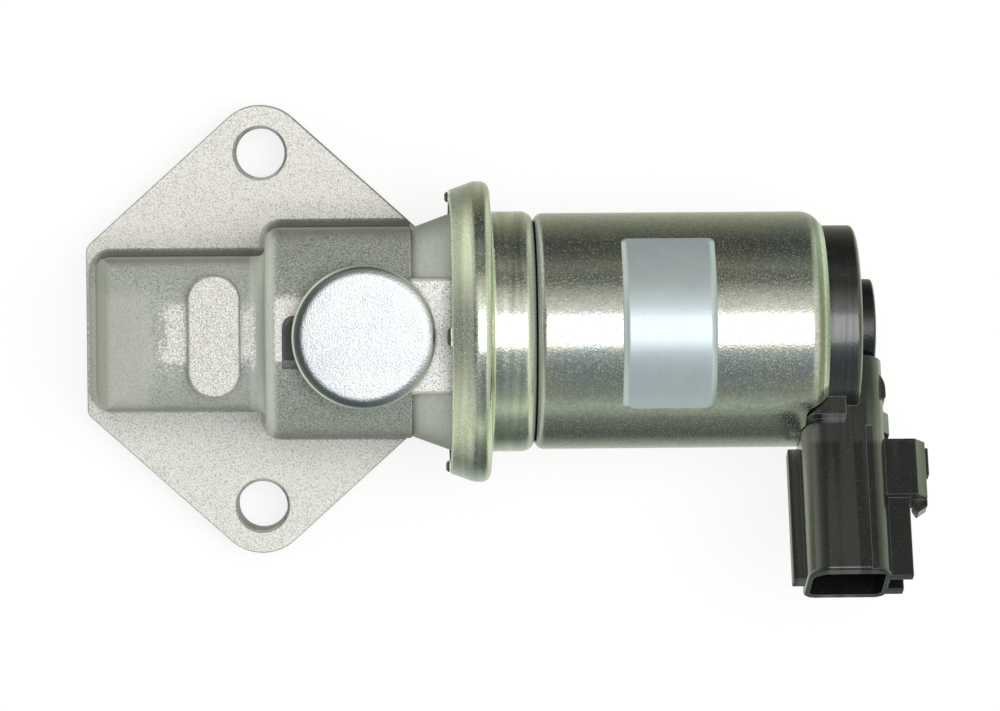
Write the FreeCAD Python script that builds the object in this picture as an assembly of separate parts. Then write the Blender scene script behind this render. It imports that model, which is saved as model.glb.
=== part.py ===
import FreeCAD, Part
import math
import os

# Idle air control valve. All sizes are in millimetres.
# The mounting face lies on z = 0, the solenoid axis runs along +X above it,
# and the origin is the middle of the two bolt holes on the mounting face.
# Values called TOP, REACH or RADIUS are measured from the solenoid axis.

# Running and seating clearances
SLIDE_GAP = 0.06            # radial, between a moving piece and its guide
SEAT_GAP = 0.1              # between the closed poppet face and its seat
PART_GAP = 0.1              # between fixed pieces that lie side by side
EDGE_BREAK = 0.3            # round on the edges of turned pieces
STROKE = 3.0                # travel of the plunger from closed to open

# Mounting flange
BOLT_SPACING = 50.0
BOLT_HOLE = 7.0
BOLT_HOLE_BREAK = 0.35
LUG_RADIUS = 6.7
FLANGE_SLOPE = 42.0         # degrees between a slanting side and the solenoid axis
FLANGE_HALF_LENGTH = 24.65
FLANGE_THICKNESS = 8.0
FLANGE_CORNER = 1.6
FLANGE_EDGE = 0.45
AXIS_HEIGHT = 21.5          # solenoid axis above the mounting face

# Casting, outside
FOOT_MARGIN = 1.45          # flange that shows past the narrow chamber's end
END_DRAFT = 2.3             # lean of that end wall between the flange and the roof
NARROW_HALF_WIDTH = 10.5
NARROW_TOP = 9.7
NARROW_CROWN = 6.2          # half width where the roof slope reaches the top
STEP_X = 1.0                # end wall of the wide chamber
WIDE_LENGTH = 20.0
WIDE_HALF_WIDTH = 14.5
WIDE_TOP = 14.1
WIDE_CROWN = 7.8
WIDE_EDGE = 1.7
ROOF_ROUND = 0.9            # share of a roof slope that its two arcs take up
END_ROUND = 0.8             # the same arcs at the narrow chamber's end, as a share of the side ones
PLAN_CORNER = 2.2
BASE_FILLET = 1.4
STEP_COVE = 1.5             # hollow round between the narrow chamber and the wide one's end wall
NECK_LENGTH = 5.4
NECK_START_RADIUS = 14.4
NECK_LIP_GAP = 1.27         # between the neck's end and the collar's lip
BAND_HALF_WIDTH = 7.9
BAND_RISE = 1.4             # above the wide chamber's roof
BAND_EDGE = 0.5
PAD_OFFSET = 6.9            # from the step to the middle of the pad
PAD_WIDTH = 7.1
PAD_LENGTH = 16.7
PAD_RISE = 1.3
PAD_EDGE = 0.3
PAD_ROUND = 0.98            # share of its half width that the pad's corner arcs take up
RELIEF_WIDTH = 7.2
RELIEF_START = 2.4          # from the step
RELIEF_SHIFT = -0.7         # along Y, from the solenoid axis to the relief's middle
RELIEF_DEPTH = 1.4
RELIEF_CORNER = 1.6
ROUND_FLANGE_THICKNESS = 2.2

# Casting, inside
NARROW_BORE = 15.2
END_WALL = 5.4              # metal between the narrow chamber and its outer end
WIDE_BORE = 22.8
DIVIDER = 3.6
DIVIDER_OFFSET = -0.4       # from the step to the divider's face
CHAMBER_CORNER = 1.2
PORT_IN = 11.0
PORT_IN_OFFSET = 0.5        # from the narrow chamber's end to the port's edge
PORT_OUT = 15.0
PORT_OUT_OFFSET = 1.3       # from the divider to the port's edge

# Pressed cap over the machined boss
CAP_OFFSET = 13.5           # from the step to the middle of the cap
CAP_DIAMETER = 19.5
CAP_WALL = 1.0
CAP_DEPTH = 2.4
CAP_LIFT = 0.1              # rim of the cap above the band
CAP_SHOULDER = 1.35
BOSS_BORE = 12.8
BOSS_FOOT_MARGIN = 0.25

# Crimped collar: a stepped cup of pressed steel
COLLAR_LENGTH = 5.55
COLLAR_STEP = 4.21          # from the cup out to the collar's full radius
COLLAR_DRAW_IN = 1.19       # from the full radius in to the collar's edge
COLLAR_PEAK = 3.3           # from the collar's edge to its full radius
COLLAR_WALL = 1.0
COLLAR_PEAK_ROUND = 2.0
COLLAR_SHOULDER = 1.3
COLLAR_ROOT = 0.5
COLLAR_LIP = 0.7
COLLAR_LIP_THICKNESS = 0.8
COLLAR_TUCK = 0.3           # thinning of the wall where it is pressed over the casting
CUP_RADIUS = 16.65
CUP_LENGTH = 6.1
CUP_SHOULDER = 1.8
STAKE_WIDTH = 2.4
STAKE_REACH = 0.6
STAKE_EDGE = 0.45
STAKE_COUNT = 4

# Solenoid can
CAN_LENGTH = 39.85
CAN_RADIUS = 16.37
CAN_WALL = 1.2
CAN_SHOULDER = 1.3
CAN_ROLL = 3.2              # round from the can's side into its sloping rolled end
CAN_ROLL_LENGTH = 1.55
CAN_INNER_ROLL = 1.0        # inside of the rolled end
CAN_LIP_EDGE = 0.25
CAN_FLOOR_CORNER = 0.5
CAN_LIP_REACH = 1.92        # how far the rolled lip covers the end cap
CAN_LIP_THICKNESS = 1.0
STEM_RADIUS = 6.0           # pole stem where it passes through the two end walls

# Magnetic circuit and coil
POLE_PLATE = 3.0
POLE_LENGTH = 12.9          # from the can's end to the pole face
POLE_RADIUS = 5.5
POLE_NOSE = 2.8
POLE_CLEAR = 0.35           # left between armature and pole with the valve open
ROD_RADIUS = 1.5
ROD_HOLE = 4.0
BOBBIN_FLANGE = 1.4
BOBBIN_HUB = 1.3
BOBBIN_CLEAR = 0.27         # between the bobbin's flanges and the can
WINDING_INSET = 1.1
WASHER_THICKNESS = 3.2
TUBE_WALL = 0.35
ARMATURE_INSET = 0.3        # from the washer's outer face
ARMATURE_ROD_DEPTH = 7.8

# Valve and its springs
SEAT_BORE = 8.8
SEAT_DIAMETER = 11.2
SEAT_PROUD = 0.3
POPPET_DIAMETER = 12.6
POPPET_THICKNESS = 1.3
POPPET_HUB = 6.2
POPPET_HUB_LENGTH = 0.5
POPPET_EDGE = 0.3
FACE_THICKNESS = 0.8
FACE_BORE = 7.2
CLIP_DIAMETER = 5.6
CLIP_THICKNESS = 0.6
CLIP_MOUTH = 2.1
BUSH_WALL = 1.0
BUSH_HEAD = 9.8
BUSH_HEAD_LENGTH = 1.9
BUSH_DEPTH = 4.3
BUSH_FLOOR = 0.5
ROD_END_GAP = 0.1           # left at the blind end with the valve open
POLE_BUSH_WALL = 1.4
POLE_BUSH_LENGTH = 5.6
ROD_SEAL_RADIUS = 4.0
ROD_SEAL_LENGTH = 2.0
RETURN_WIRE = 0.8
RETURN_RADIUS = 4.1
RETURN_TURNS = 5.0
LIGHT_WIRE = 0.6
LIGHT_RADIUS = 2.6
LIGHT_TURNS = 5.0
LIGHT_POCKET = 3.0
LIGHT_BORE = 3.3
LIGHT_SPRING_LENGTH = 9.8

# End cap and connector, one moulding
CAP_FLANGE_THICKNESS = 3.3
CAP_FLANGE_CLEAR = 0.12
CAP_BODY_CLEAR = 0.05       # inside the rolled lip
CAP_BODY_LENGTH = 5.55      # from the inside of the rolled lip
CAP_BODY_EDGE = 0.75
HUB_RADIUS = 6.9
HUB_LENGTH = 2.6
HUB_EDGE = 0.4
END_SEAL_WIDTH = 3.0
END_SEAL_THICKNESS = 0.9
CONNECTOR_TURN = 25.0       # degrees that the socket leans up about the solenoid axis
SOCKET_SETBACK = 3.5        # from the can's end to the socket's near side
SOCKET_WIDTH = 11.5
SOCKET_FRONT = 5.0          # front and rear are measured across the leaning socket
SOCKET_REAR = -6.9
SOCKET_FRONT_CORNER = 3.2
SOCKET_REAR_CORNER = 1.8
SOCKET_REACH = 37.3         # mouth
SOCKET_SIDE_WALL = 0.8
SOCKET_FRONT_WALL = 2.0
SOCKET_REAR_WALL = 1.45
SOCKET_DEPTH = 18.0
SOCKET_ROOT = 6.0
CAVITY_CORNER = 0.7         # the cavity's front corner beside the latch
FACE_STEP = 0.25            # the strip along the front of the socket beside the latch lies lower
FACE_STEP_WIDTH = 2.9
MOUTH_EDGE = 0.4
RAIL_ROOT = 0.5             # depth that rails, latch and ledge are rooted in the socket
RAIL_EDGE = 0.2             # round on the long edges of rails, latch and ledge
RAIL_END_EDGE = 0.15        # and on the edges of their ends
LEFT_RAIL = 1.6
LEFT_RAIL_REAR = -4.2
LEFT_RAIL_FRONT = -1.4
LEFT_RAIL_SETBACK = 0.8     # from the mouth
RIGHT_RAIL = 3.0
RIGHT_RAIL_REAR = 0.4
RIGHT_RAIL_FRONT = 2.0
BACK_RAIL = 2.2
BACK_RAIL_REAR = -5.4
BACK_RAIL_FRONT = -3.4
RAIL_CLEAR = 1.0            # from the can to the start of the rails
LATCH_CLEAR = 1.25          # from the can to the start of the latch
LATCH_LENGTH = 8.26
LATCH_REACH = 5.5           # out from the socket's far side
LATCH_FRONT = 3.0
LATCH_REAR = -2.4
LATCH_BEVEL = 1.45
LATCH_EDGE = 0.5
LATCH_HOOK = 2.0
LATCH_HOOK_THICKNESS = 2.2
LATCH_HOOK_INSET = 0.5      # from the rail to the hook
LATCH_KEY = 0.55            # small key on the latch's outer side
LATCH_KEY_LENGTH = 4.0
LATCH_KEY_SETBACK = 0.5
LATCH_KEY_REAR = -1.2
LATCH_KEY_FRONT = 0.6
SHOULDER_START = 7.0
SHOULDER_END = 11.9
SHOULDER_PROUD = 3.75       # from the end cap's face
SHOULDER_ROUND = 3.4
SHOULDER_EDGE = 0.4
SHOULDER_FRONT = 3.4
SHOULDER_REAR = -4.6
BOSS_START = 13.5           # low boss beside the socket, between the shoulder and the latch
BOSS_END = 16.7
BOSS_PROUD = 0.7
LEDGE_WIDTH = 5.35
LEDGE_DROP = 1.0            # from the can's surface in to the ledge's end
LEDGE_FRONT = 6.6
NOTCH_INSET = 0.5           # from the socket's near side to the notch
NOTCH_FRONT = 7.2
NOTCH_REAR = -8.0
NOTCH_CORNER = 1.4
TERMINAL_PITCH = 5.0
TERMINAL_WIDTH = 2.2
TERMINAL_THICKNESS = 0.7
TERMINAL_RECESS = 6.8       # blade tip below the mouth
TERMINAL_ROOT = 10.0
TERMINAL_STEP = 2.2         # between the two leads
TERMINAL_TIP = 0.8
LEAD_CLEAR = 0.3

# Label
LABEL_OFFSET = 11.65        # from the can's front end
LABEL_WIDTH = 12.75
LABEL_LENGTH = 25.74        # round the can
LABEL_TURN = 6.85           # degrees from straight up towards +Y to the label's middle
LABEL_THICKNESS = 0.1
LABEL_CORNER = 0.9

# Places that follow from the sizes above
NARROW_FOOT_X = FOOT_MARGIN - FLANGE_HALF_LENGTH
NARROW_END_X = NARROW_FOOT_X + END_DRAFT
NARROW_BORE_X = NARROW_END_X + END_WALL
DIVIDER_X = STEP_X + DIVIDER_OFFSET
DIVIDER_END_X = DIVIDER_X + DIVIDER
PORT_IN_X = NARROW_BORE_X + PORT_IN_OFFSET + PORT_IN / 2
PORT_OUT_X = DIVIDER_END_X + PORT_OUT_OFFSET + PORT_OUT / 2
NECK_X = STEP_X + WIDE_LENGTH
BAND_TOP = WIDE_TOP + BAND_RISE
CAP_X = STEP_X + CAP_OFFSET
CAP_TOP = BAND_TOP + CAP_LIFT + CAP_DEPTH
COLLAR_X = NECK_X + NECK_LENGTH
COLLAR_END_X = COLLAR_X + COLLAR_LENGTH
COLLAR_RADIUS = CUP_RADIUS + COLLAR_STEP
COLLAR_EDGE_RADIUS = COLLAR_RADIUS - COLLAR_DRAW_IN
ROUND_FLANGE_X = COLLAR_X + COLLAR_LIP_THICKNESS
ROUND_FLANGE_END_X = ROUND_FLANGE_X + ROUND_FLANGE_THICKNESS
ROUND_FLANGE_RADIUS = COLLAR_EDGE_RADIUS - COLLAR_WALL + COLLAR_TUCK - PART_GAP
COLLAR_LIP_RADIUS = COLLAR_EDGE_RADIUS - COLLAR_WALL - COLLAR_LIP
NECK_END_RADIUS = COLLAR_LIP_RADIUS - NECK_LIP_GAP
CAN_X = COLLAR_END_X + CUP_LENGTH
CUP_FLOOR_X = CAN_X - COLLAR_WALL
PLATE_X = CUP_FLOOR_X - POLE_PLATE
CAN_FLOOR_X = CAN_X + CAN_WALL
CAN_END_X = CAN_X + CAN_LENGTH
CAN_BORE_RADIUS = CAN_RADIUS - CAN_WALL
CAN_MOUTH_RADIUS = CAN_RADIUS - CAN_LIP_REACH
CAP_FLANGE_END_X = CAN_END_X - CAN_LIP_THICKNESS
CAP_FLANGE_X = CAP_FLANGE_END_X - CAP_FLANGE_THICKNESS
CAP_FACE_X = CAP_FLANGE_END_X + CAP_BODY_LENGTH
CAP_FLANGE_RADIUS = CAN_BORE_RADIUS - CAP_FLANGE_CLEAR
CAP_BODY_RADIUS = CAN_MOUTH_RADIUS - CAP_BODY_CLEAR
WASHER_END_X = CAP_FLANGE_X - END_SEAL_THICKNESS
BOBBIN_X = CAN_FLOOR_X + PART_GAP
BOBBIN_END_X = WASHER_END_X - WASHER_THICKNESS
BOBBIN_RADIUS = CAN_BORE_RADIUS - BOBBIN_CLEAR
BOBBIN_BORE_RADIUS = POLE_RADIUS + SLIDE_GAP
POLE_FACE_X = CAN_X + POLE_LENGTH
ARMATURE_X = POLE_FACE_X + STROKE + POLE_CLEAR
ARMATURE_END_X = WASHER_END_X - ARMATURE_INSET
LIGHT_SPRING_X = ARMATURE_END_X - LIGHT_POCKET
SEAT_X = DIVIDER_X - SEAT_PROUD
FACE_X = SEAT_X - SEAT_GAP - FACE_THICKNESS
POPPET_X = FACE_X - POPPET_THICKNESS
BUSH_BORE_RADIUS = ROD_RADIUS + SLIDE_GAP
BUSH_X = NARROW_BORE_X - BUSH_DEPTH
ROD_START_X = BUSH_X + BUSH_FLOOR + ROD_END_GAP + STROKE
SOCKET_LEFT = CAN_END_X - SOCKET_SETBACK
SOCKET_RIGHT = SOCKET_LEFT + SOCKET_WIDTH
SOCKET_MIDDLE = SOCKET_LEFT + SOCKET_WIDTH / 2
CAVITY_REAR = SOCKET_REAR + SOCKET_REAR_WALL
CAVITY_FRONT = SOCKET_FRONT - SOCKET_FRONT_WALL
BLADE_HEIGHT = (CAVITY_REAR + CAVITY_FRONT) / 2
NOTCH_LEFT = SOCKET_LEFT + NOTCH_INSET
LATCH_START = CAN_RADIUS + LATCH_CLEAR
LATCH_END = LATCH_START + LATCH_LENGTH
RAIL_START = CAN_RADIUS + RAIL_CLEAR
TERMINAL_END = SOCKET_REACH - TERMINAL_RECESS
LABEL_X = CAN_X + LABEL_OFFSET
FAR = 200.0                 # past every face of the valve
OVER = 1.0                  # how far a cut runs past the face that it opens


def vec(x, y, z):
    return FreeCAD.Vector(x, y, z)


AXIS_POINT = vec(0, 0, AXIS_HEIGHT)
AXIS_WAY = vec(1, 0, 0)
UP = vec(0, 0, 1)


def rounded_face(corners, place):
    """Flat face inside corners (u, v) or (u, v, radius), where a radius makes a tangent arc."""
    points = [place(corner[0], corner[1]) for corner in corners]
    radii = [corner[2] if len(corner) > 2 else 0.0 for corner in corners]
    starts, middles, ends = [], [], []
    for index, point in enumerate(points):
        back = (points[index - 1] - point).normalize()
        onward = (points[(index + 1) % len(points)] - point).normalize()
        half = back.getAngle(onward) / 2
        reach = radii[index] / math.tan(half)
        starts.append(point + back * reach)
        ends.append(point + onward * reach)
        inward = (back + onward).normalize()
        middles.append(point + inward * (radii[index] / math.sin(half) - radii[index]))
    edges = []
    for index, radius in enumerate(radii):
        if radius > 0:
            edges.append(Part.Arc(starts[index], middles[index], ends[index]).toShape())
        next_start = starts[(index + 1) % len(points)]
        if ends[index].distanceToPoint(next_start) > 1e-6:
            edges.append(Part.LineSegment(ends[index], next_start).toShape())
    return Part.Face(Part.Wire(edges))


def turned(corners):
    """Solid of revolution about the solenoid axis from (x, radius) corners."""
    face = rounded_face(corners, lambda x, r: vec(x, 0, AXIS_HEIGHT + r))
    return face.revolve(AXIS_POINT, AXIS_WAY, 360)


def ring(x, x_end, inner, outer):
    return turned([(x, inner), (x, outer), (x_end, outer), (x_end, inner)])


def rod(x, x_end, radius):
    return Part.makeCylinder(radius, x_end - x, vec(x, 0, AXIS_HEIGHT), AXIS_WAY)


def along_x(corners, x, x_end):
    """Prism along X from corners (y, height above the solenoid axis)."""
    face = rounded_face(corners, lambda y, h: vec(x, y, AXIS_HEIGHT + h))
    return face.extrude(vec(x_end - x, 0, 0))


def along_y(corners, half_width):
    """Prism along Y from corners (x, height above the solenoid axis)."""
    face = rounded_face(corners, lambda x, h: vec(x, -half_width, AXIS_HEIGHT + h))
    return face.extrude(vec(0, 2 * half_width, 0))


def along_z(corners, z, z_end):
    """Upright prism from corners (x, y)."""
    face = rounded_face(corners, lambda x, y: vec(x, y, z))
    return face.extrude(vec(0, 0, z_end - z))


def block(x, x_end, y, y_end, z, z_end):
    return Part.makeBox(x_end - x, y_end - y, z_end - z, vec(x, y, z))


def edges_on(shape, test):
    """Edges of a solid whose every vertex passes the test."""
    return [edge for edge in shape.Edges if all(test(vertex.Point) for vertex in edge.Vertexes)]


def near(value, target):
    return abs(value - target) < 1e-4


# The casting

def slope_round(half_width, crown):
    """Radius of the two equal arcs that take ROOF_ROUND of a 45 degree roof slope."""
    slope = (half_width - crown) * math.sqrt(2)
    return ROOF_ROUND * slope / (2 * math.tan(math.radians(22.5)))


def roof_corners(half_width, top, crown):
    """Half-round section of a chamber, from below the mounting face to its flat top."""
    shoulder = top - (half_width - crown)
    radius = slope_round(half_width, crown)
    right = [(half_width, -AXIS_HEIGHT), (half_width, shoulder, radius), (crown, top, radius)]
    left = [(-corner[0],) + corner[1:] for corner in reversed(right)]
    return right + left


def flange_outline():
    """Corners of the diamond: its tips are round lugs and its two ends are cut off straight."""
    slope = math.radians(FLANGE_SLOPE)
    tip = BOLT_SPACING / 2 + LUG_RADIUS / math.cos(slope)
    side = tip - FLANGE_HALF_LENGTH * math.tan(slope)
    return [
        (0, tip, LUG_RADIUS),
        (FLANGE_HALF_LENGTH, side, FLANGE_CORNER),
        (FLANGE_HALF_LENGTH, -side, FLANGE_CORNER),
        (0, -tip, LUG_RADIUS),
        (-FLANGE_HALF_LENGTH, -side, FLANGE_CORNER),
        (-FLANGE_HALF_LENGTH, side, FLANGE_CORNER),
    ]


def flange():
    plate = along_z(flange_outline(), 0, FLANGE_THICKNESS)
    rim = edges_on(plate, lambda point: near(point.z, FLANGE_THICKNESS))
    return plate.makeFillet(FLANGE_EDGE, rim)


def chamber_walls():
    """Upright walls of both chambers with the fillet that runs round their foot."""
    half = [
        (NARROW_FOOT_X, NARROW_HALF_WIDTH, PLAN_CORNER),
        (STEP_X, NARROW_HALF_WIDTH, STEP_COVE),
        (STEP_X, WIDE_HALF_WIDTH, WIDE_EDGE),
        (2 * FLANGE_HALF_LENGTH, WIDE_HALF_WIDTH),
    ]
    outline = half + [(corner[0], -corner[1]) + corner[2:] for corner in reversed(half)]
    ground = 3 * FLANGE_HALF_LENGTH
    ground = block(-ground, ground, -ground, ground, 0, FLANGE_THICKNESS)
    base = ground.fuse(along_z(outline, 0, AXIS_HEIGHT)).removeSplitter()
    foot = edges_on(base, lambda point: near(point.z, FLANGE_THICKNESS))
    foot = [edge for edge in foot if edge.BoundBox.YMax < WIDE_HALF_WIDTH + BASE_FILLET
            and edge.BoundBox.YMin > -WIDE_HALF_WIDTH - BASE_FILLET]
    base = base.makeFillet(BASE_FILLET, foot)
    return base.common(along_z(flange_outline(), FLANGE_THICKNESS / 2, AXIS_HEIGHT))


def narrow_roof():
    """Narrow chamber above the flange: the side section hipped at its far end."""
    run = NARROW_HALF_WIDTH - NARROW_CROWN
    radius = slope_round(NARROW_HALF_WIDTH, NARROW_CROWN)
    side = along_x(roof_corners(NARROW_HALF_WIDTH, NARROW_TOP, NARROW_CROWN), NARROW_FOOT_X, STEP_X + OVER)
    end = along_y([
        (NARROW_FOOT_X, -AXIS_HEIGHT),
        (NARROW_FOOT_X, FLANGE_THICKNESS + BASE_FILLET - AXIS_HEIGHT),
        (NARROW_END_X, NARROW_TOP - run, radius * END_ROUND),
        (NARROW_END_X + run, NARROW_TOP, radius),
        (STEP_X + OVER, NARROW_TOP),
        (STEP_X + OVER, -AXIS_HEIGHT),
    ], NARROW_HALF_WIDTH + OVER)
    plan = along_z([
        (NARROW_FOOT_X, NARROW_HALF_WIDTH, PLAN_CORNER),
        (STEP_X + OVER, NARROW_HALF_WIDTH),
        (STEP_X + OVER, -NARROW_HALF_WIDTH),
        (NARROW_FOOT_X, -NARROW_HALF_WIDTH, PLAN_CORNER),
    ], 0, AXIS_HEIGHT + NARROW_TOP + OVER)
    return side.common(end).common(plan)


def wide_roof():
    """Wide chamber up to the neck, with the round edge of its end wall."""
    hull = along_x(roof_corners(WIDE_HALF_WIDTH, WIDE_TOP, WIDE_CROWN), STEP_X, NECK_X)
    rim = edges_on(hull, lambda point: near(point.x, STEP_X))
    rim = [edge for edge in rim if edge.BoundBox.ZMax > 0.01]
    return hull.makeFillet(WIDE_EDGE, rim)


def roofs():
    """Both chambers above the flange, joined by a hollow round at the step."""
    both = narrow_roof().fuse(wide_roof()).removeSplitter()
    step = edges_on(both, lambda point: near(point.x, STEP_X) and abs(point.y) < NARROW_HALF_WIDTH + 0.01)
    return both.makeFillet(STEP_COVE, step)


def neck():
    """Cone from the wide chamber to the round flange, cut flat at the height of the band."""
    cone = turned([
        (NECK_X - OVER, 0),
        (NECK_X - OVER, NECK_START_RADIUS),
        (NECK_X, NECK_START_RADIUS),
        (ROUND_FLANGE_X, NECK_END_RADIUS),
        (ROUND_FLANGE_X, ROUND_FLANGE_RADIUS),
        (ROUND_FLANGE_END_X, ROUND_FLANGE_RADIUS),
        (ROUND_FLANGE_END_X, 0),
    ])
    above = block(0, ROUND_FLANGE_X, -FAR, FAR, AXIS_HEIGHT + BAND_TOP, FAR)
    return cone.cut(above)


def band():
    """Raised flat from the cap boss to the round flange."""
    bar = block(CAP_X, ROUND_FLANGE_X, -BAND_HALF_WIDTH, BAND_HALF_WIDTH,
                AXIS_HEIGHT + WIDE_TOP / 2, AXIS_HEIGHT + BAND_TOP)
    long_edges = edges_on(bar, lambda point: near(point.z, AXIS_HEIGHT + BAND_TOP))
    long_edges = [edge for edge in long_edges if edge.BoundBox.YLength < 0.01]
    return bar.makeFillet(BAND_EDGE, long_edges)


def boss():
    """Round boss: a foot that the cap stands on and a turned spigot that it is pressed over."""
    foot_top = AXIS_HEIGHT + CAP_TOP - CAP_DEPTH
    spigot_top = AXIS_HEIGHT + CAP_TOP - CAP_WALL
    foot_z = AXIS_HEIGHT + WIDE_TOP / 2
    foot = Part.makeCylinder(CAP_DIAMETER / 2 - BOSS_FOOT_MARGIN, foot_top - foot_z, vec(CAP_X, 0, foot_z))
    spigot = Part.makeCylinder(CAP_DIAMETER / 2 - CAP_WALL, spigot_top - foot_z, vec(CAP_X, 0, foot_z))
    return foot.fuse(spigot)


def pad():
    """Low oblong pad across the top of the narrow chamber."""
    middle = STEP_X - PAD_OFFSET
    reach = PAD_LENGTH / 2
    half = PAD_WIDTH / 2
    corner = half * PAD_ROUND
    corners = [(middle - half, -reach, corner), (middle + half, -reach, corner),
               (middle + half, reach, corner), (middle - half, reach, corner)]
    top = AXIS_HEIGHT + NARROW_TOP + PAD_RISE
    solid = along_z(corners, AXIS_HEIGHT, top)
    return solid.makeFillet(PAD_EDGE, edges_on(solid, lambda point: near(point.z, top)))


def relief():
    """Shallow pocket in the wide chamber's top, between its end and the boss."""
    left = STEP_X + RELIEF_START
    right = CAP_X - CAP_DIAMETER / 2 + OVER
    low = RELIEF_SHIFT - RELIEF_WIDTH / 2
    high = RELIEF_SHIFT + RELIEF_WIDTH / 2
    corners = [(left, low), (right, low), (right, high), (left, high, RELIEF_CORNER)]
    return along_z(corners, AXIS_HEIGHT + WIDE_TOP - RELIEF_DEPTH, FAR)


def air_passages():
    """Both chambers, the seat bore between them, the rod's blind bore and the two ports."""
    narrow = turned([
        (NARROW_BORE_X, 0),
        (NARROW_BORE_X, NARROW_BORE / 2, CHAMBER_CORNER),
        (DIVIDER_X, NARROW_BORE / 2, CHAMBER_CORNER),
        (DIVIDER_X, 0),
    ])
    wide = turned([
        (DIVIDER_END_X, 0),
        (DIVIDER_END_X, WIDE_BORE / 2, CHAMBER_CORNER),
        (FAR, WIDE_BORE / 2),
        (FAR, 0),
    ])
    seat = rod(DIVIDER_X - OVER, DIVIDER_END_X + OVER, SEAT_DIAMETER / 2)
    blind = rod(BUSH_X, NARROW_BORE_X + OVER, BUSH_BORE_RADIUS + BUSH_WALL)
    port_in = Part.makeCylinder(PORT_IN / 2, AXIS_HEIGHT, vec(PORT_IN_X, 0, 0))
    port_out = Part.makeCylinder(PORT_OUT / 2, AXIS_HEIGHT, vec(PORT_OUT_X, 0, 0))
    cap_bore = Part.makeCylinder(BOSS_BORE / 2, FAR, vec(CAP_X, 0, AXIS_HEIGHT))
    return narrow.multiFuse([wide, seat, blind, port_in, port_out, cap_bore])


def bolt_holes():
    holes = []
    for y in (-BOLT_SPACING / 2, BOLT_SPACING / 2):
        radius = BOLT_HOLE / 2
        wide = radius + BOLT_HOLE_BREAK
        hole = Part.makeCylinder(radius, FLANGE_THICKNESS, vec(0, y, 0))
        low = Part.makeCone(wide, radius, BOLT_HOLE_BREAK, vec(0, y, 0))
        high = Part.makeCone(radius, wide, BOLT_HOLE_BREAK, vec(0, y, FLANGE_THICKNESS - BOLT_HOLE_BREAK))
        holes += [hole, low, high]
    return holes[0].multiFuse(holes[1:])


def valve_body():
    skirt = block(-FAR, FAR, -FAR, FAR, -1, FLANGE_THICKNESS + BASE_FILLET)
    hulls = roofs()
    walls = chamber_walls().common(skirt.fuse(hulls))
    walls = walls.cut(block(NECK_X, FAR, -FAR, FAR, FLANGE_THICKNESS, FAR))
    body = flange().multiFuse([walls, hulls, neck(), band(), boss(), pad()]).removeSplitter()
    return body.cut(relief()).cut(air_passages()).cut(bolt_holes()).removeSplitter()


def boss_cap():
    """Inverted cup of bright steel with a round shoulder."""
    outer = CAP_DIAMETER / 2
    inner = outer - CAP_WALL
    top = AXIS_HEIGHT + CAP_TOP
    rim = top - CAP_DEPTH
    corners = [
        (0, top),
        (outer, top, CAP_SHOULDER),
        (outer, rim),
        (inner, rim),
        (inner, top - CAP_WALL),
        (0, top - CAP_WALL),
    ]
    face = rounded_face(corners, lambda r, z: vec(CAP_X + r, 0, z))
    return face.revolve(vec(CAP_X, 0, 0), UP, 360)


# The collar and the can

def crimp_collar():
    """Stepped cup: the wide rim is staked over the casting, the small end holds the pole."""
    bore = STEM_RADIUS
    full_x = COLLAR_X + COLLAR_PEAK
    corners = [
        (COLLAR_X, COLLAR_LIP_RADIUS),
        (COLLAR_X, COLLAR_EDGE_RADIUS, EDGE_BREAK),
        (full_x, COLLAR_RADIUS, COLLAR_PEAK_ROUND),
        (COLLAR_END_X, COLLAR_RADIUS, COLLAR_SHOULDER),
        (COLLAR_END_X, CUP_RADIUS, COLLAR_ROOT),
        (CAN_X, CUP_RADIUS, CUP_SHOULDER),
        (CAN_X, bore),
        (CUP_FLOOR_X, bore),
        (CUP_FLOOR_X, CUP_RADIUS - COLLAR_WALL, CUP_SHOULDER - COLLAR_WALL),
        (COLLAR_END_X - COLLAR_WALL, CUP_RADIUS - COLLAR_WALL, COLLAR_ROOT + COLLAR_WALL),
        (COLLAR_END_X - COLLAR_WALL, COLLAR_RADIUS - COLLAR_WALL, COLLAR_SHOULDER - COLLAR_WALL),
        (full_x, COLLAR_RADIUS - COLLAR_WALL, COLLAR_PEAK_ROUND - COLLAR_WALL),
        (ROUND_FLANGE_X, COLLAR_EDGE_RADIUS - COLLAR_WALL + COLLAR_TUCK),
        (ROUND_FLANGE_X, COLLAR_LIP_RADIUS),
    ]
    cup = turned(corners)
    stakes = [stake(360.0 * index / STAKE_COUNT) for index in range(STAKE_COUNT)]
    return cup.multiFuse(stakes)


def stake(turn):
    """Small tab at the collar's edge, bent in over the round flange of the casting."""
    low = AXIS_HEIGHT + COLLAR_LIP_RADIUS
    high = AXIS_HEIGHT + COLLAR_EDGE_RADIUS - COLLAR_WALL / 4
    half = STAKE_WIDTH / 2
    tab = block(COLLAR_X - STAKE_REACH, COLLAR_X + COLLAR_LIP_THICKNESS / 2, -half, half, low, high)
    front = edges_on(tab, lambda point: near(point.x, COLLAR_X - STAKE_REACH))
    tab = tab.makeFillet(STAKE_EDGE, front)
    tab.rotate(AXIS_POINT, AXIS_WAY, turn)
    return tab


def body_seal():
    return ring(ROUND_FLANGE_END_X, COLLAR_END_X - COLLAR_WALL, CUP_RADIUS - COLLAR_WALL / 2,
                ROUND_FLANGE_RADIUS)


def leaned(shape):
    """Turn a shape made with the socket along -Y to its real lean about the solenoid axis."""
    shape.rotate(AXIS_POINT, AXIS_WAY, -CONNECTOR_TURN)
    return shape


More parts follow.
